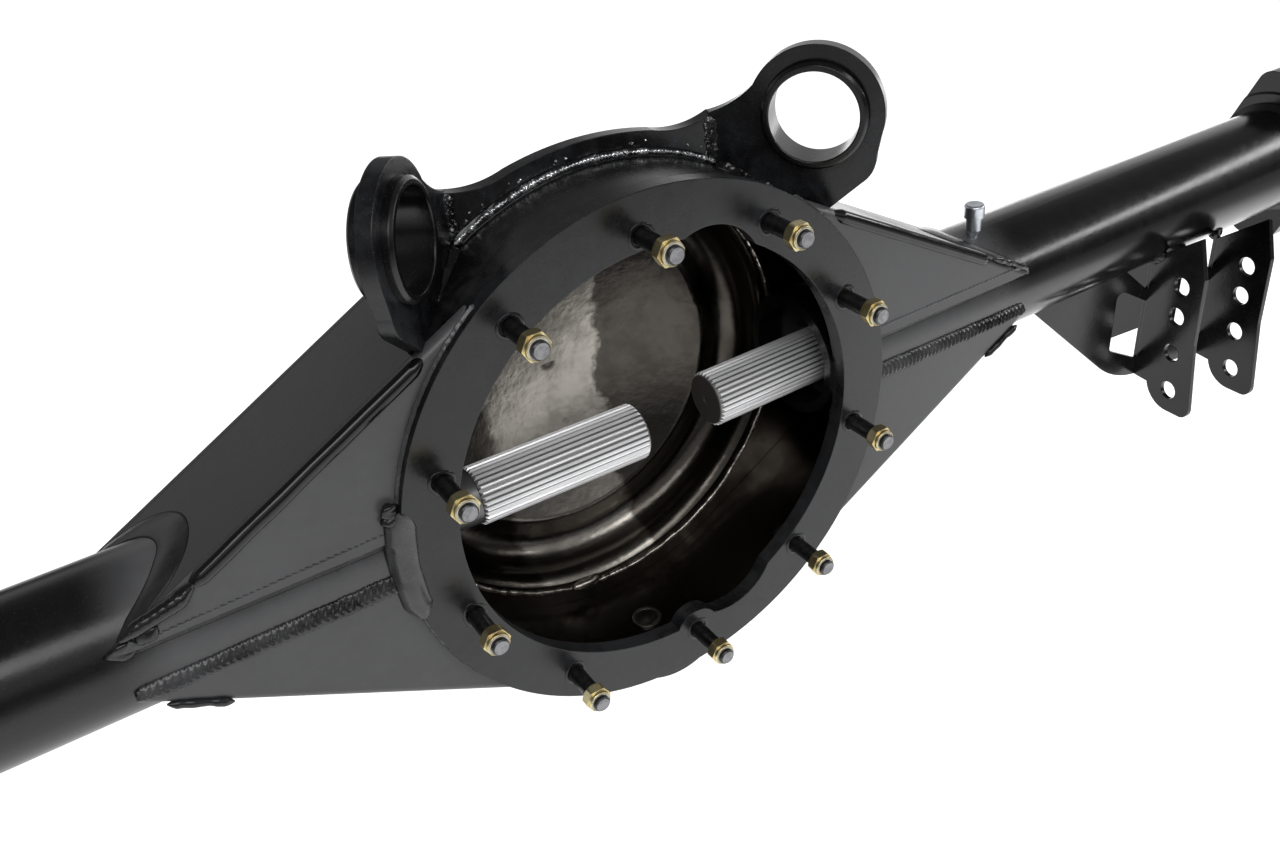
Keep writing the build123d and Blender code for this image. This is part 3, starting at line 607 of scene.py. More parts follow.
def inside_mask(g):
    """1 on faces that look into the housing: turned to the front or to the middle."""
    x, y, z = g.axes(g.vector)
    nx, ny, nz = g.true_normal()
    inward = g.times_plus(ny, 0.02, g.plus(g.times(x, nx), g.times(z, nz)))
    faces = g.math("LESS_THAN", inward, -0.002)
    near = g.math("LESS_THAN", g.size(x), BARE_LIMIT)
    return g.times(g.times(faces, near), g.math("GREATER_THAN", y, BARE_FRONT))


def skin_material(name, bare_colour, stain_colour, roughness, cloud, waves, stained, burnt=0.0):
    """Plate that is painted outside, and bare and hammered on its faces inside the housing.

    The last argument says how far the bare steel darkens to the left and right of a ragged middle
    field.
    """
    paint = bpy.context.scene.axle_paint
    g = blank(name)
    coat = g.skin("Paint_Skin", Paint=paint.colour, Haze=paint.skin_haze, Haze_Amount=0.9,
                  Speck_Amount=0.2, Base_Roughness=0.22, Peel_Depth=0.8)
    bare = g.skin("Steel_Skin", Bright=bare_colour, Stain=stain_colour, Stain_Amount=stained,
                  Cloud_Scale=cloud, Base_Roughness=roughness)
    inside = inside_mask(g)
    ragged = g.times_plus(g.noise(45.0, 5.0, 0.65), 0.030, g.axes(g.vector)[0])
    fields = g.plus(g.ramp(ragged, *DARK_SIDE_RIGHT), g.ramp(ragged, *DARK_SIDE_LEFT), clamp=True)
    steel = g.mix(g.times(fields, burnt), bare["Color"], (0.030, 0.026, 0.022))
    hammered = g.times(inside, g.noise(130.0, 2.0, 0.5))
    height = g.mix_value(inside, coat["Height"], bare["Height"])
    return g.finish(
        g.mix(inside, coat["Color"], steel),
        g.mix_value(inside, coat["Roughness"], bare["Roughness"]),
        g.times_plus(hammered, waves, height), PAINT_BUMP, inside, paint.edge_radius)


def tube_material(name):
    """Gloss paint on the tubes, and the front plates' lighter paint between the slots' beads."""
    paint = bpy.context.scene.axle_paint
    g = blank(name)
    coat = g.skin("Paint_Skin", Paint=paint.colour, Haze=paint.haze, Haze_Amount=0.6,
                  Speck_Amount=0.15, Base_Roughness=0.15, Peel_Depth=0.8)
    plate_tone = g.skin("Paint_Skin", Paint=paint.plate_colour, Haze=paint.plate_haze, Haze_Amount=0.9,
                 Speck_Amount=0.3, Base_Roughness=0.26, Peel_Depth=1.0)
    along = g.size(g.axes(g.vector)[0])
    between = g.times(g.ramp(along, *PLATE_TONE_END), g.ramp(along, *PLATE_TONE_START))
    return g.finish(g.mix(between, coat["Color"], plate_tone["Color"]),
                    g.mix_value(between, coat["Roughness"], plate_tone["Roughness"]),
                    coat["Height"], PAINT_BUMP)


def stud_material(name):
    """Black studs with bare grey ends."""
    g = blank(name)
    skin = g.skin("Steel_Skin", Bright=(0.10, 0.10, 0.105), Stain=(0.03, 0.03, 0.03),
                  Stain_Amount=0.6, Cloud_Scale=300.0, Base_Roughness=0.3)
    end = g.ramp(g.times(g.true_normal()[1], -1.0), 0.75, 0.95)
    grey = g.mix(skin["Mask"], (0.30, 0.30, 0.31), (0.17, 0.17, 0.18))
    return g.finish(g.mix(end, skin["Color"], grey), skin["Roughness"], skin["Height"], FINE_BUMP,
                    g.times_plus(end, -0.5, 1.0), 0.0004)


def nut_material(name):
    """Yellow chromate over zinc: gold with pale and brown patches."""
    g = blank(name)
    skin = g.skin("Steel_Skin", Bright=bpy.context.scene.axle_steel.yellow_zinc,
                  Stain=(0.36, 0.29, 0.13), Stain_Amount=0.6, Cloud_Scale=150.0,
                  Base_Roughness=0.27)
    tint = g.mix(g.ramp(g.noise(110.0), 0.35, 0.65), (0.84, 0.78, 0.48), (0.66, 0.52, 0.28))
    return g.finish(g.mix(0.5, skin["Color"], tint), skin["Roughness"], skin["Height"], FINE_BUMP,
                    1.0, 0.0004)


def shaft_material(name):
    """Ground steel with a dark sawn end, painted shade in the spline grooves and duller wheel
    flanges.
    """
    g = blank(name)
    skin = g.skin("Steel_Skin", Bright=bpy.context.scene.axle_steel.shaft_colour,
                  Stain=(0.66, 0.66, 0.67), Stain_Amount=0.15, Cloud_Scale=60.0,
                  Base_Roughness=0.28)
    x, y, z = g.axes(g.vector)
    near_end = g.math("LESS_THAN", g.size(x), SPLINE_LIMIT)
    dark = g.times(g.ramp(g.size(g.true_normal()[0]), 0.4, 0.9), near_end)
    up = g.plus(z, g.times_plus(g.size(x), -SHAFT_SLOPE, BEARING_X * SHAFT_SLOPE))
    radius = g.length(up, g.math("SUBTRACT", y, AXLE_DEPTH * MM))
    # Painted shade: the spline grooves are darkened towards their roots, where light hardly
    # reaches.
    groove_shade = g.times(g.rest_of(g.ramp(radius, SPLINE_ROOT, SPLINE_TIP)), near_end)
    colour = g.mix(groove_shade, skin["Color"], (0.16, 0.16, 0.16))
    colour = g.mix(dark, colour, (0.09, 0.085, 0.08))
    colour = g.mix(g.ramp(g.size(x), *FLANGE_STEEL), colour, (0.38, 0.38, 0.39))
    return g.finish(colour, g.times_plus(dark, 0.2, skin["Roughness"]), skin["Height"], 0.00002,
                    0.62)


def worn_paint_material(name, low, high, paint_haze, steel=(0.72, 0.73, 0.76)):
    """Thin paint with the bright bead metal showing through in flecks."""
    g = blank(name)
    skin = g.skin("Paint_Skin", Paint=bpy.context.scene.axle_paint.colour, Haze=paint_haze,
                  Haze_Amount=0.7, Speck_Amount=0.6, Base_Roughness=0.12, Peel_Depth=3.0)
    fleck = g.ramp(g.noise(620.0, 3.0, 0.65), low, high)
    return g.finish(g.mix(fleck, skin["Color"], steel), skin["Roughness"],
                    g.times_plus(fleck, 0.8, skin["Height"]), 0.00006, fleck)


def finish_named(name, build, *values, **named):
    """The material of this name, built at its first use."""
    return bpy.data.materials.get(name) or build(name, *values, **named)


def weld_paint():
    return finish_named(
        "Weld_Paint", paint_material, haze=0.5, roughness=0.13, peel=1.5, speck=0.5, edge=False,
        haze_colour=bpy.context.scene.axle_paint.flange_haze)


def bright_bead():
    return finish_named("Bright_Bead", worn_paint_material, 0.40, 0.52, (0.05, 0.051, 0.054),
                        (0.90, 0.91, 0.94))


def faint_bead():
    return finish_named("Faint_Bead", worn_paint_material, 0.58, 0.72, (0.05, 0.051, 0.054))


def ripple_paint():
    return finish_named("Ripple_Paint", worn_paint_material, 0.66, 0.80,
                        bpy.context.scene.axle_paint.plate_haze, (0.42, 0.43, 0.48))


def fold_paint():
    """Deep gloss on the rounded upper edges of the wings."""
    return finish_named("Fold_Paint", paint_material, haze=0.3, roughness=0.12, peel=0.6,
                        speck=0.1, edge=False)


def seam_paint():
    """Lighter paint on the beads that lie between the front plates and the tubes."""
    paint = bpy.context.scene.axle_paint
    return finish_named(
        "Seam_Paint", paint_material, haze=0.8, roughness=0.16, peel=1.5, speck=0.8, edge=False,
        colour=[0.7 * c for c in paint.plate_colour], haze_colour=paint.plate_haze)


def dress(material, *nodes):
    """Gives a finish to nodes of the part."""
    for name in nodes:
        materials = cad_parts[name].data.materials
        materials.clear()
        materials.append(material)


def finish_piece(piece, material):
    piece.data.materials.append(material)


def both_sides(*names):
    return [f"{side}_{name}" for side, _ in SIDES for name in names]


class AXLE_OT_paint_housing(bpy.types.Operator):
    """Paints the plates, tubes, ears and brackets black, and leaves the inside bare"""
    bl_idname = "axle.paint_housing"
    bl_label = "Paint the housing"

    def execute(self, context):
        paint, steel = context.scene.axle_paint, context.scene.axle_steel
        dress(finish_named("Black_Paint", paint_material, haze=0.6), "right_rear_gusset",
              *both_sides("ear_sleeve", "bracket_inner_plate", "bracket_outer_plate",
                          "bracket_web", "housing_end"))
        dress(finish_named("Flange_Paint", paint_material, haze=1.0, roughness=0.22,
                           haze_colour=paint.flange_haze), "face_flange", "drain_pad")
        dress(finish_named("Black_Plate_Paint", paint_material, haze=0.9, roughness=0.30,
                           colour=paint.plate_colour, haze_colour=paint.plate_haze),
              *both_sides("upper_front_plate", "lower_front_plate"))
        dress(finish_named("Arm_Paint", paint_material, haze=0.9, roughness=0.2,
                           haze_colour=paint.bridge_haze), *both_sides("ear"))
        dress(finish_named("Bridge_Paint", paint_material, haze=1.0, roughness=0.2,
                           haze_colour=[2.0 * c for c in paint.bridge_haze]), "bridge_plate")
        dress(finish_named("Tube_Paint", tube_material), *both_sides("tube"))
        dress(finish_named("Rolled_Skin", skin_material, steel.scale_colour,
                           (0.035, 0.030, 0.026), 0.10, 16.0, 3.0, 0.75),
              "top_plate", "bottom_plate", "back_plate")
        dress(finish_named("Cover_Skin", skin_material, steel.bowl_colour, (0.10, 0.09, 0.078),
                           0.13, 34.0, 6.0, 0.4, burnt=0.85), "back_cover")
        return {"FINISHED"}


class AXLE_OT_finish_steel(bpy.types.Operator):
    """Gives the shafts, studs, nuts, bearings and breather their steel, plating and rubber"""
    bl_idname = "axle.finish_steel"
    bl_label = "Finish the steel pieces"

    def execute(self, context):
        dress(finish_named("Shaft_Steel", shaft_material), *both_sides("axle_shaft"))
        dress(finish_named("Carrier_Stud", stud_material), "carrier_studs")
        dress(finish_named("Yellow_Zinc", nut_material), "carrier_nuts",
              *both_sides("retainer_nuts"))
        for name, bright, stain, amount, scale, roughness, edge, nodes in (
                ("Stud_Steel", (0.16, 0.16, 0.165), (0.05, 0.05, 0.05), 0.6, 300.0, 0.38, 0.0004,
                 ["drain_plug", *both_sides("wheel_studs", "retainer_studs")]),
                ("Clear_Zinc", (0.80, 0.84, 0.90), (0.60, 0.64, 0.70), 0.5, 120.0, 0.26, 0.0004,
                 ["breather_body", "breather_cap", *both_sides("bearing_retainer")]),
                ("Bearing_Steel", (0.65, 0.65, 0.67), (0.5, 0.5, 0.5), 0.3, 80.0, 0.14, 0.0,
                 both_sides("bearing_outer_race", "bearing_inner_race", "bearing_lock_ring")),
                ("Bung_Steel", (0.34, 0.32, 0.30), (0.12, 0.10, 0.09), 0.6, 90.0, 0.28, 0.0006,
                 ["drain_bung"])):
            dress(steel_material(name, bright, stain, amount, scale, roughness, edge), *nodes)
        dress(finish_named("Nut_Insert", paint_material, haze=0.6, roughness=0.4, peel=0.5,
                           speck=0.0, edge=False, colour=(0.78, 0.76, 0.66),
                           haze_colour=(0.60, 0.57, 0.46)), "carrier_nut_inserts")
        dress(finish_named("Seal_Rubber", paint_material, haze=0.3, roughness=0.5, peel=2.0,
                           speck=0.2, edge=False), *both_sides("oil_seal"))
        return {"FINISHED"}


class AXLE_OT_slot_welds(bpy.types.Operator):
    """Lays the flat beads that join the front plates to the axle tubes"""
    bl_idname = "axle.slot_welds"
    bl_label = "Slot welds"

    def execute(self, context):
        settings = context.scene.axle_weld
        rise, pitch = settings.slot_rise / MM, settings.slot_pitch / MM
        for tag, side in SIDES:
            seed = settings.seed + 10 * side
            self.bead(f"{tag}_upper_slot_weld", side, SLOT_TOP, (22.3, 10.5),
                      (23.5, 12.0) if side > 0 else (19.2, 11.0), TIP_X - 6, seam_paint(),
                      pitch=pitch, rise=0.8 * rise, ripple=0.05, saw=1.3, jag=0.25,
                      seed=seed + 1, flat=False)
            self.bead(f"{tag}_lower_slot_weld", side, SLOT_BOTTOM, (-14.2, -4.2), (-12.4, -5.4),
                      TIP_X - 1, ripple_paint(), pitch=pitch, rise=1.4 * rise, ripple=0.75,
                      saw=0.9, jag=0.5, seed=seed + 2, grain=0.12)
        return {"FINISHED"}

    def bead(self, name, side, edge, start, end, reach, finish, pitch, **look):
        """A bead over a slot's edge; start and end are its heights on the plate and the tube."""
        begin = math.sqrt(FLANGE_R ** 2 - edge ** 2) + 2
        count = int((reach - begin) / (pitch / 9))
        x = np.linspace(begin, reach, count)
        part = (x - begin) / (reach - begin)
        plate_z, tube_z = (first + (last - first) * part for first, last in zip(start, end))
        on_plate = np.stack([side * x, np.full(count, BOX_FRONT), plate_z], axis=1)
        on_tube = np.stack([side * x, tube_front(tube_z), tube_z], axis=1)
        lines = (on_plate, on_tube) if edge > 0 else (on_tube, on_plate)
        out = constant((0, -1, math.copysign(0.35, edge)), on_plate)
        finish_piece(band_weld(name, *lines, out, pitch=pitch, **look), finish)


class AXLE_OT_tip_welds(bpy.types.Operator):
    """Lays the beads and lumps round the tips of the four wings"""
    bl_idname = "axle.tip_welds"
    bl_label = "Tip welds"

    def execute(self, context):
        settings = context.scene.axle_weld
        radius, seed = settings.tip_radius / MM, settings.seed
        self.rope("left_tip_bead", ((-279.5, 7.0, 22.5), (-268.8, 5.8, 27.0), (-257.3, 5.2, 31.0),
                                    (-242.5, 5.2, 37.2)), 1.5 * radius, seed + 31, 0.14, 4.5, 0.22)
        for i, (x, y, z, size) in enumerate(((-276.5, 9.8, 17.0, 5.2), (-271.5, 8.2, 19.5, 5.4),
                                             (-266.5, 7.0, 22.0, 4.6))):
            radii = (1.4 * size, 0.62 * size, 0.85 * size)
            finish_piece(blob(f"left_tip_lump_{i + 1}", (x, y, z), radii, (0.95, 0, 0.3),
                              (0, 1, 0), seed + 33 + i, 0.42), weld_paint())
        self.rope("right_tip_bead", ((245.5, 5.4, 37.4), (256.6, 5.4, 32.0), (268.0, 5.6, 25.8),
                                     (277.5, 6.6, 20.5), (281.8, 8.6, 14.5)),
                  0.8 * radius, seed + 41, 0.08, 5.0, 0.2)
        nx, nz = math.cos(TANGENT_TOP), math.sin(TANGENT_TOP)
        for tag, side in SIDES:
            points = walk(lambda x: (side * x, BOX_FRONT + FOLD_DEPTH,
                                     (BOX_R - FOLD_INSET - x * nx) / nz), 118.0, 246.0, 1.2)[0]
            finish_piece(rope_weld(f"{tag}_upper_fold", points, FOLD_R, seed + 51 + side, 0.0,
                                   9.0, 0.02, wander_by=0.03), fold_paint())
        for tag, corners in (
                ("left", ((-271.5, 6.5, -19.3), (-258.0, 5.6, -25.6), (-244.5, 5.6, -32.8))),
                ("right", ((246.0, 5.6, -32.0), (260.0, 5.6, -24.8), (273.5, 6.5, -18.6)))):
            self.rope(f"{tag}_low_edge_bead", corners, 0.9 * radius, seed + 47, 0.04, 5.0, 0.15)
        return {"FINISHED"}

    def rope(self, name, corners, *look):
        finish_piece(rope_weld(name, bend(corners, 0.35), *look), weld_paint())


class AXLE_OT_collar_welds(bpy.types.Operator):
    """Lays the wide smooth fillets where the tubes leave the rolled top and bottom plates"""
    bl_idname = "axle.collar_welds"
    bl_label = "Collar welds"

    def execute(self, context):
        settings = context.scene.axle_weld
        smooth = finish_named(
            "Collar_Paint", paint_material, haze=0.9, roughness=0.2, peel=0.6, speck=0.2,
            edge=False, haze_colour=context.scene.axle_paint.skin_haze)
        for tag, side in SIDES:
            for label, turn, up in (("top", TANGENT_TOP, 1), ("bottom", TANGENT_BOTTOM, -1)):
                nx, nz = math.cos(turn), math.sin(turn)

                def edge(a):
                    x = (BOX_R - TUBE_R * math.sin(a) * nz) / nx
                    return (side * min(x, TIP_X), AXLE_DEPTH - TUBE_R * math.cos(a),
                            up * TUBE_R * math.sin(a))

                points, t = walk(edge, math.radians(30), math.radians(150), 0.6)
                taper = 0.25 + 0.75 * np.sin((t - t[0]) / (t[-1] - t[0]) * np.pi) ** 0.8
                bead = fillet_weld(
                    f"{tag}_{label}_collar_weld", points,
                    constant((side * nx, 0, up * nz), points), tube_normal(points),
                    settings.collar_width / MM, pitch=5.0, ripple=0.03, bulge=0.36, jag=0.05,
                    samples=14, seed=settings.seed + 60 + side + up, sink=1.0, leg_ratio=0.45,
                    taper=taper, crown=1.7)
                finish_piece(bead, smooth)
        return {"FINISHED"}


class AXLE_OT_flange_welds(bpy.types.Operator):
    """Lays the smooth pad and the lumps where the left slot meets the face flange"""
    bl_idname = "axle.flange_welds"
    bl_label = "Flange welds"

    def execute(self, context):
        seed = context.scene.axle_weld.seed
        turn = np.linspace(math.radians(-11.5), math.radians(12.5), 110)

        def rim(radius, depth, in_slot):
            z = radius * np.sin(turn)
            slot = np.clip((SLOT_TOP - z) / 5, 0, 1) * np.clip((z - SLOT_BOTTOM) / 5, 0, 1)
            return np.stack([-radius * np.cos(turn), depth + in_slot * slot, z], axis=1)

        inner = rim(FLANGE_WELD_R - 7.0, 0.0, 0.0)
        outer = rim(FLANGE_WELD_R + 7.5, BOX_FRONT, 3.2)
        crest = rim(FLANGE_WELD_R + 2.0, -5.2, 0.0)
        pad = band_weld(
            "left_flange_pad", inner, outer, constant((-0.35, -1, 0), inner), rise=0.5,
            ripple=0.0, jag=0.3, seed=seed + 80, pitch=9.0, flat=False, sink=0.0, blunt=7.0,
            crest=crest)
        finish_piece(pad, seam_paint())
        for i, (x, z, size) in enumerate(((-152.6, 35.5, 4.2), (-151.8, 29.0, 4.6),
                                          (-150.8, 22.5, 3.6))):
            lump = blob(f"left_flange_lump_{i + 1}", (x, 3.2, z), (size, 0.7 * size, 0.9 * size),
                        (1, 0, 0), (0, 1, 0), seed + 84 + i, 0.4)
            finish_piece(lump, weld_paint())
        for tag, side, upper, lower in (("left", -1, (13.5, 53), (-52, -12)),
                                        ("right", 1, (7.5, 53), (-52, -5.5))):
            for label, arc in (("upper", upper), ("lower", lower)):
                points = walk(lambda a: (side * FLANGE_R * math.cos(a), BOX_FRONT,
                                         FLANGE_R * math.sin(a)),
                              *(math.radians(end) for end in arc), 0.8)[0]
                bead = fillet_weld(
                    f"{tag}_{label}_flange_seam", points, box_normal(points),
                    constant((0, -1, 0), points), 1.6, pitch=4.0, ripple=0.05, bulge=0.45,
                    jag=0.15, seed=seed + 90 + side, samples=6)
                finish_piece(bead, seam_paint())
        return {"FINISHED"}


class AXLE_OT_stud_rings(bpy.types.Operator):
    """Lays the soft ring of paint that stands round the foot of each carrier stud"""
    bl_idname = "axle.stud_rings"
    bl_label = "Stud rings"

    def execute(self, context):
        for i, stud in enumerate(self.studs()):
            front = stud[stud[:, 1] < stud[:, 1].min() + 1].mean(axis=0)
            rear = stud[stud[:, 1] > stud[:, 1].max() - 1].mean(axis=0)
            foot = front + (rear - front) * (front[1] / (front[1] - rear[1]))
            self.ring(f"stud_ring_{i + 1:02d}", foot, context.scene.axle_weld.seed + 300 + i)
        return {"FINISHED"}

    def studs(self):
        """The vertices of each stud, told apart by the gaps between them round the flange."""
        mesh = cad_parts["carrier_studs"].data
        spots = np.empty(3 * len(mesh.vertices))
        mesh.vertices.foreach_get("co", spots)
        spots = spots.reshape(-1, 3) / MM
        turn = np.degrees(np.arctan2(spots[:, 2], spots[:, 0])) % 360
        order = np.argsort(turn)
        gaps = np.diff(turn[order], append=turn[order][0] + 360)
        cuts = np.flatnonzero(gaps > 8) + 1
        around = np.roll(order, -cuts[-1])
        counts = np.diff(np.append(cuts, cuts[0] + len(order)))
        return [spots[row] for row in np.split(around, np.cumsum(counts)[:-1])]

    def ring(self, name, foot, seed):
        count = 48
        sweep = np.linspace(0, 2 * np.pi, count, endpoint=False)
        uneven = 1 + 0.06 * np.sin(sweep * 2 + seed) + 0.04 * np.sin(sweep * 3 + 2 * seed)
        rings = []
        for radius, height in ((5.0, -0.3), (5.2, 0.25), (5.7, 0.55), (6.3, 0.5), (7.0, 0.2),
                               (7.6, -0.1)):
            rings.append(np.stack([foot[0] + radius * uneven * np.cos(sweep),
                                   np.full(count, -height),
                                   foot[2] + radius * uneven * np.sin(sweep)], axis=1))
        faces = []
        for k in range(len(rings)):
            for j in range(count):
                n, up = (j + 1) % count, (k + 1) % len(rings)
                faces.append((k * count + j, k * count + n, up * count + n, up * count + j))
        finish_piece(
            mesh_object(name, np.concatenate(rings), faces),
            finish_named("Ring_Paint", paint_material, haze=0.9, roughness=0.14, peel=1.0,
                         speck=0.3, edge=False))


class AXLE_OT_bridge_welds(bpy.types.Operator):
    """Lays the fillets at the feet of the bridge and the ears, and the mitre beads between them"""
    bl_idname = "axle.bridge_welds"
    bl_label = "Bridge and ear welds"

    def execute(self, context):
        settings = context.scene.axle_weld
        width, seed = settings.bridge_width / MM, settings.seed
        reach = math.asin(BRIDGE_END_X / BOX_R)

        def arc(radius, depth, step):
            return walk(lambda a: (radius * math.sin(a), depth, radius * math.cos(a)),
                        -reach, reach, step)[0]

        for label, depth, face in (("front", BRIDGE_Y, -1), ("rear", BRIDGE_Y + ARM_PLATE_T, 1)):
            points = arc(BOX_R, depth, 0.5)
            bead = fillet_weld(
                f"bridge_{label}_weld", points, box_normal(points), constant((0, face, 0), points),
                width, pitch=4.0, ripple=0.04, bulge=0.42, jag=0.06, seed=seed + 100 + face)
            finish_piece(bead, weld_paint())
        crest = arc(BOX_R + 0.55 * width, BRIDGE_Y - 0.55 * width, 0.3)
        finish_piece(rope_weld("bridge_crest_bead", crest, 1.25, seed + 110, 0.6, 2.1, 0.65),
                     bright_bead())
        rng = np.random.default_rng(seed + 1112)
        for i in range(16):
            turn = rng.uniform(-reach, reach)
            away = BOX_R + width + rng.uniform(1.2, 3.8)
            size = rng.uniform(0.35, 0.75)
            place = (away * math.sin(turn), BRIDGE_Y, away * math.cos(turn))
            dot = blob(f"bridge_spatter_{i + 1}", place, (size, size, size), (1, 0, 0), (0, 1, 0),
                       seed + 200 + i, 0.3)
            finish_piece(dot, bright_bead())
        for tag, side in SIDES:
            self.ear(tag, side, seed)
        return {"FINISHED"}

    def ear(self, tag, side, seed):
        facing = np.array([-side * math.sin(EAR_TURN), -math.cos(EAR_TURN), 0])

        def foot(x):
            return (side * x, EAR_FRONT[1] - (x - EAR_FRONT[0]) * math.tan(EAR_TURN),
                    math.sqrt(BOX_R ** 2 - x * x))

        points = walk(foot, BRIDGE_END_X, EAR_FRONT[0] + 2.5, 0.45)[0]
        bead = fillet_weld(
            f"{tag}_ear_foot_weld", points, box_normal(points), constant(facing, points), 4.6,
            pitch=3.4, ripple=0.35 if side > 0 else 0.1, bulge=0.45, jag=0.2,
            seed=seed + 120 + side)
        finish_piece(bead, weld_paint())
        low = math.sqrt(BOX_R ** 2 - BRIDGE_END_X ** 2)
        points = walk(lambda z: (side * BRIDGE_END_X, BRIDGE_Y, z), low + 2, 156.0, 0.45)[0]
        bead = fillet_weld(
            f"{tag}_mitre_weld", points, constant((0, -1, 0), points), constant(facing, points),
            3.6, pitch=4.2, ripple=0.2, bulge=0.4, jag=0.25, seed=seed + 130 + side)
        finish_piece(bead, faint_bead())
        x, y, z = foot(EAR_FRONT[0] + 1.0)
        tack = blob(f"{tag}_ear_tack", (x, y - 1, z + 3.0), (4.0, 3.6, 8.0), facing, (0, 1, 0),
                    seed + 140 + side, 0.3)
        finish_piece(tack, bright_bead() if side > 0 else weld_paint())


class AXLE_OT_bracket_welds(bpy.types.Operator):
    """Lays the beads that join the lower brackets to the tubes"""
    bl_idname = "axle.bracket_welds"
    bl_label = "Bracket welds"

    def execute(self, context):
        seed = context.scene.axle_weld.seed
        cosine, sine = math.cos(BRACKET_TURN), math.sin(BRACKET_TURN)
        for tag, side in SIDES:
            for label, offset, face in (("inner", 0.0, -1), ("outer", BRACKET_WIDTH, 1)):

                def seat(a):
                    y = AXLE_DEPTH - TUBE_R * math.cos(a)
                    x = (BRACKET_ORIGIN[0] + offset / cosine
                         + (y - BRACKET_ORIGIN[1]) * math.tan(BRACKET_TURN))
                    return side * x, y, -TUBE_R * math.sin(a)

                points = walk(seat, math.radians(34), math.radians(55), 0.5)[0]
                wall = constant((side * face * cosine, -face * sine, 0), points)
                bead = fillet_weld(
                    f"{tag}_bracket_{label}_weld", points, wall, tube_normal(points), 3.6,
                    pitch=2.6, ripple=0.3, bulge=0.55, jag=0.15, seed=seed + 150 + side + face)
                finish_piece(bead, weld_paint())
        return {"FINISHED"}


class AXLE_OT_inner_welds(bpy.types.Operator):
    """Lays the bare bead round the back cover inside the housing"""
    bl_idname = "axle.inner_welds"
    bl_label = "Inner welds"

    def execute(self, context):
        seed = context.scene.axle_weld.seed
        bare = finish_named("Bare_Weld", steel_material, (0.50, 0.47, 0.43), (0.20, 0.17, 0.14),
                            0.6, 120.0, 0.22)
        radius = COVER_RIM_R + 1.0
        points = walk(lambda a: (radius * math.cos(a), BOX_INNER_BACK, radius * math.sin(a)),
                      math.radians(-172), math.radians(170), 0.6)[0]
        bead = rope_weld("cover_rim_weld", points, 1.5, seed + 170, 0.15, 3.4, 0.3)
        finish_piece(bead, bare)
        lump = blob("cover_rim_lump", (-22, BOX_INNER_BACK - 1, -130), (9, 4, 3.2), (1, 0, 0),
                    (0, 0, 1), seed + 180, 0.35)
        finish_piece(lump, bare)
        return {"FINISHED"}


# Stage


def area_lamp(name, place, target, size, power, in_gloss=True):
    data = bpy.data.lights.new(name, "AREA")
    data.shape = "RECTANGLE"
    data.size, data.size_y = size
    data.energy = power
    lamp = bpy.data.objects.new(name, data)
    lamp.location = place
    lamp.rotation_mode = "QUATERNION"
    lamp.rotation_quaternion = (Vector(target) - Vector(place)).to_track_quat("-Z", "Y")
    lamp.visible_camera = False
    lamp.visible_glossy = in_gloss
    bpy.context.scene.collection.objects.link(lamp)


def studio_world():
    """White for the camera; for the rest a dim room, paler in front and in two places behind."""
    world = bpy.data.worlds.new("Studio")
    bpy.context.scene.world = world
    world.use_nodes = True
    g = Graph(world.node_tree)
    x, y, z = g.axes(g.add("ShaderNodeTexCoord").outputs["Generated"])
    band = g.times(g.ramp(z, 0.10, 0.30), g.rest_of(g.ramp(z, 0.58, 0.82)))
    low = g.rest_of(g.ramp(z, 0.25, 0.55))
    front = g.ramp(g.times(y, -1.0), 0.2, 0.8)
    left_rear = g.ramp(g.towards(x, y, -158), 0.75, 0.93)
    right_rear = g.ramp(g.towards(x, y, 128), 0.82, 0.96)
    light = g.times_plus(left_rear, 0.50, g.times_plus(front, 0.42, 0.08))
    light = g.times_plus(light, band, 0.13)
    light = g.times_plus(g.times(right_rear, low), 0.9, light)
    room = g.add("ShaderNodeBackground", Strength=light)
    white = g.add("ShaderNodeBackground", Color=(1, 1, 1), Strength=1.0)
    path = g.add("ShaderNodeLightPath")
    mix = g.add("ShaderNodeMixShader")
    for target, value in zip(mix.inputs, (path.outputs["Is Camera Ray"], room.outputs[0],
                                          white.outputs[0])):
        g.feed(target, value)
    g.add("ShaderNodeOutputWorld", Surface=mix.outputs[0])


def floor_material():
    """Pale floor that reads as white to the camera, lights the gloss and takes a shadow."""
    g = blank("Pale_Floor")
    x, y, _ = g.axes(g.vector)
    away = g.length(x, y)
    lit = g.times_plus(g.ramp(x, 0.35, 1.2), 1.1, 0.42)
    lit = g.times_plus(lit, g.rest_of(g.ramp(away, 0.8, 1.7)), 0.12)
    wall = g.times(g.ramp(g.towards(x, y, 137), 1.2, 3.5), g.ramp(x, 0.8, 2.0))
    lit = g.times_plus(wall, 2.2, lit)
    behind = g.times(g.ramp(y, 0.2, 0.7), g.rest_of(g.ramp(away, 1.6, 3.2)))
    lit = g.times_plus(behind, 0.45, lit)
    rays = g.add("ShaderNodeLightPath").outputs
    seen = g.times_plus(rays["Is Camera Ray"], 0.92, g.times(rays["Is Glossy Ray"], lit))
    seen = g.math("MAXIMUM", seen, g.times(rays["Is Transmission Ray"], 0.6))
    colour = g.mix(g.noise(40.0, 3.0, 0.5), (0.80, 0.80, 0.80), (0.84, 0.84, 0.84))
    for name, value in (("Base Color", colour), ("Roughness", 0.8), ("Emission Color", (1, 1, 1)),
                        ("Emission Strength", seen)):
        g.feed(g.shader.inputs[name], value)
    return g.material


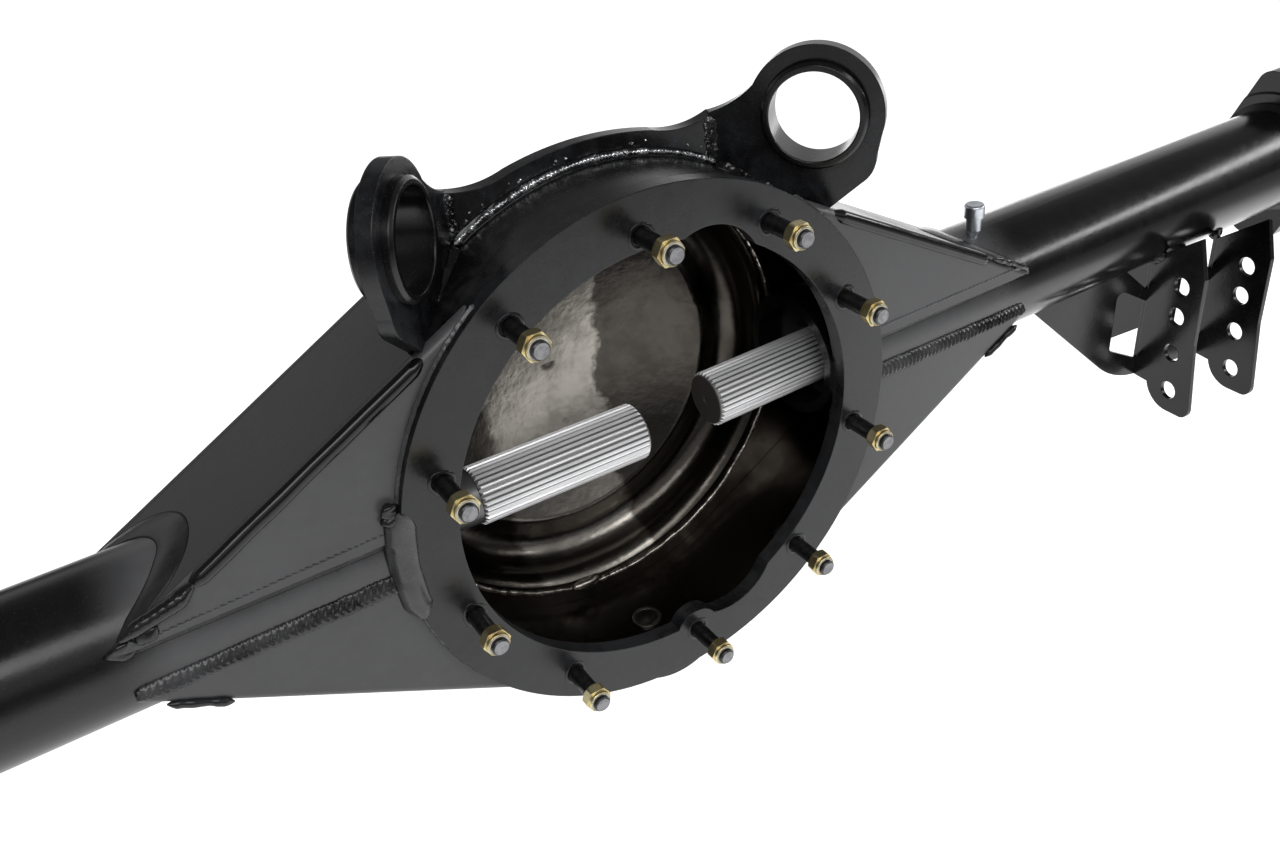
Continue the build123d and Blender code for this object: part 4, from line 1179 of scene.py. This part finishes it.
class AXLE_OT_stage(bpy.types.Operator):
    """Sets the camera, the lamps, the backdrop and the floor"""
    bl_idname = "axle.stage"
    bl_label = "Stage"

    def execute(self, context):
        scene, settings = context.scene, context.scene.axle_stage
        scene.view_settings.view_transform = "Standard"
        studio_world()
        self.camera(scene, settings)
        area_lamp("Front_Softbox", (-0.42, -1.31, 1.42), (0.0, 0.0, 0.0), (2.4, 0.6), 14)
        area_lamp("Right_Strip", (1.29, -0.42, 0.46), (0.5, 0.0, 0.0), (0.9, 0.12), 2.7)
        area_lamp("Top_Fill", (0.0, -0.9, 1.8), (0.0, 0.0, 0.0), (1.8, 1.4), 24, in_gloss=False)
        mesh = bpy.data.meshes.new("Floor")
        size, height = 9.0, settings.floor_height
        corners = [(-size, -size, height), (size, -size, height), (size, size, height),
                   (-size, size, height)]
        mesh.from_pydata(corners, [], [(0, 1, 2, 3)])
        mesh.materials.append(floor_material())
        floor = bpy.data.objects.new("Floor", mesh)
        scene.collection.objects.link(floor)
        return {"FINISHED"}

    def camera(self, scene, settings):
        data = bpy.data.cameras.new("Camera")
        data.sensor_width = 36.0
        data.lens = settings.lens
        data.clip_start, data.clip_end = 0.02, 60.0
        camera = bpy.data.objects.new("Camera", data)
        turn, tilt = settings.turn, settings.tilt
        forward = Vector((math.sin(turn) * math.cos(tilt), math.cos(turn) * math.cos(tilt),
                          -math.sin(tilt)))
        camera.location = (-0.2591, -0.4362, 0.3444)
        camera.rotation_mode = "QUATERNION"
        aim = forward.to_track_quat("-Z", "Y")
        camera.rotation_quaternion = aim @ Quaternion((0, 0, 1), settings.roll)
        scene.collection.objects.link(camera)
        scene.camera = camera


STEPS = (
    AXLE_OT_paint_housing, AXLE_OT_finish_steel, AXLE_OT_slot_welds, AXLE_OT_tip_welds,
    AXLE_OT_collar_welds, AXLE_OT_flange_welds, AXLE_OT_stud_rings, AXLE_OT_bridge_welds,
    AXLE_OT_bracket_welds, AXLE_OT_inner_welds, AXLE_OT_stage,
)
SETTINGS = {
    "axle_paint": PaintSettings, "axle_steel": SteelSettings, "axle_weld": WeldSettings,
    "axle_stage": StageSettings,
}


class AXLE_PT_sidebar(bpy.types.Panel):
    """Lists the steps that dress the axle housing"""
    bl_idname = "AXLE_PT_sidebar"
    bl_label = "Axle housing"
    bl_space_type = "VIEW_3D"
    bl_region_type = "UI"
    bl_category = "Axle housing"

    def draw(self, context):
        for name, kind in SETTINGS.items():
            box = self.layout.box()
            box.label(text=kind.__doc__)
            for key in kind.__annotations__:
                box.prop(getattr(context.scene, name), key)
        for step in STEPS:
            self.layout.operator(step.bl_idname)


def register():
    for kind in (*SETTINGS.values(), *STEPS, AXLE_PT_sidebar):
        bpy.utils.register_class(kind)
    for name, kind in SETTINGS.items():
        setattr(bpy.types.Scene, name, PointerProperty(type=kind))


def unregister():
    for name in SETTINGS:
        delattr(bpy.types.Scene, name)
    for kind in (AXLE_PT_sidebar, *reversed(STEPS), *SETTINGS.values()):
        bpy.utils.unregister_class(kind)


def main():
    register()
    for step in STEPS:
        area, call = step.bl_idname.split(".")
        getattr(getattr(bpy.ops, area), call)()


if __name__ == "__main__":
    main()
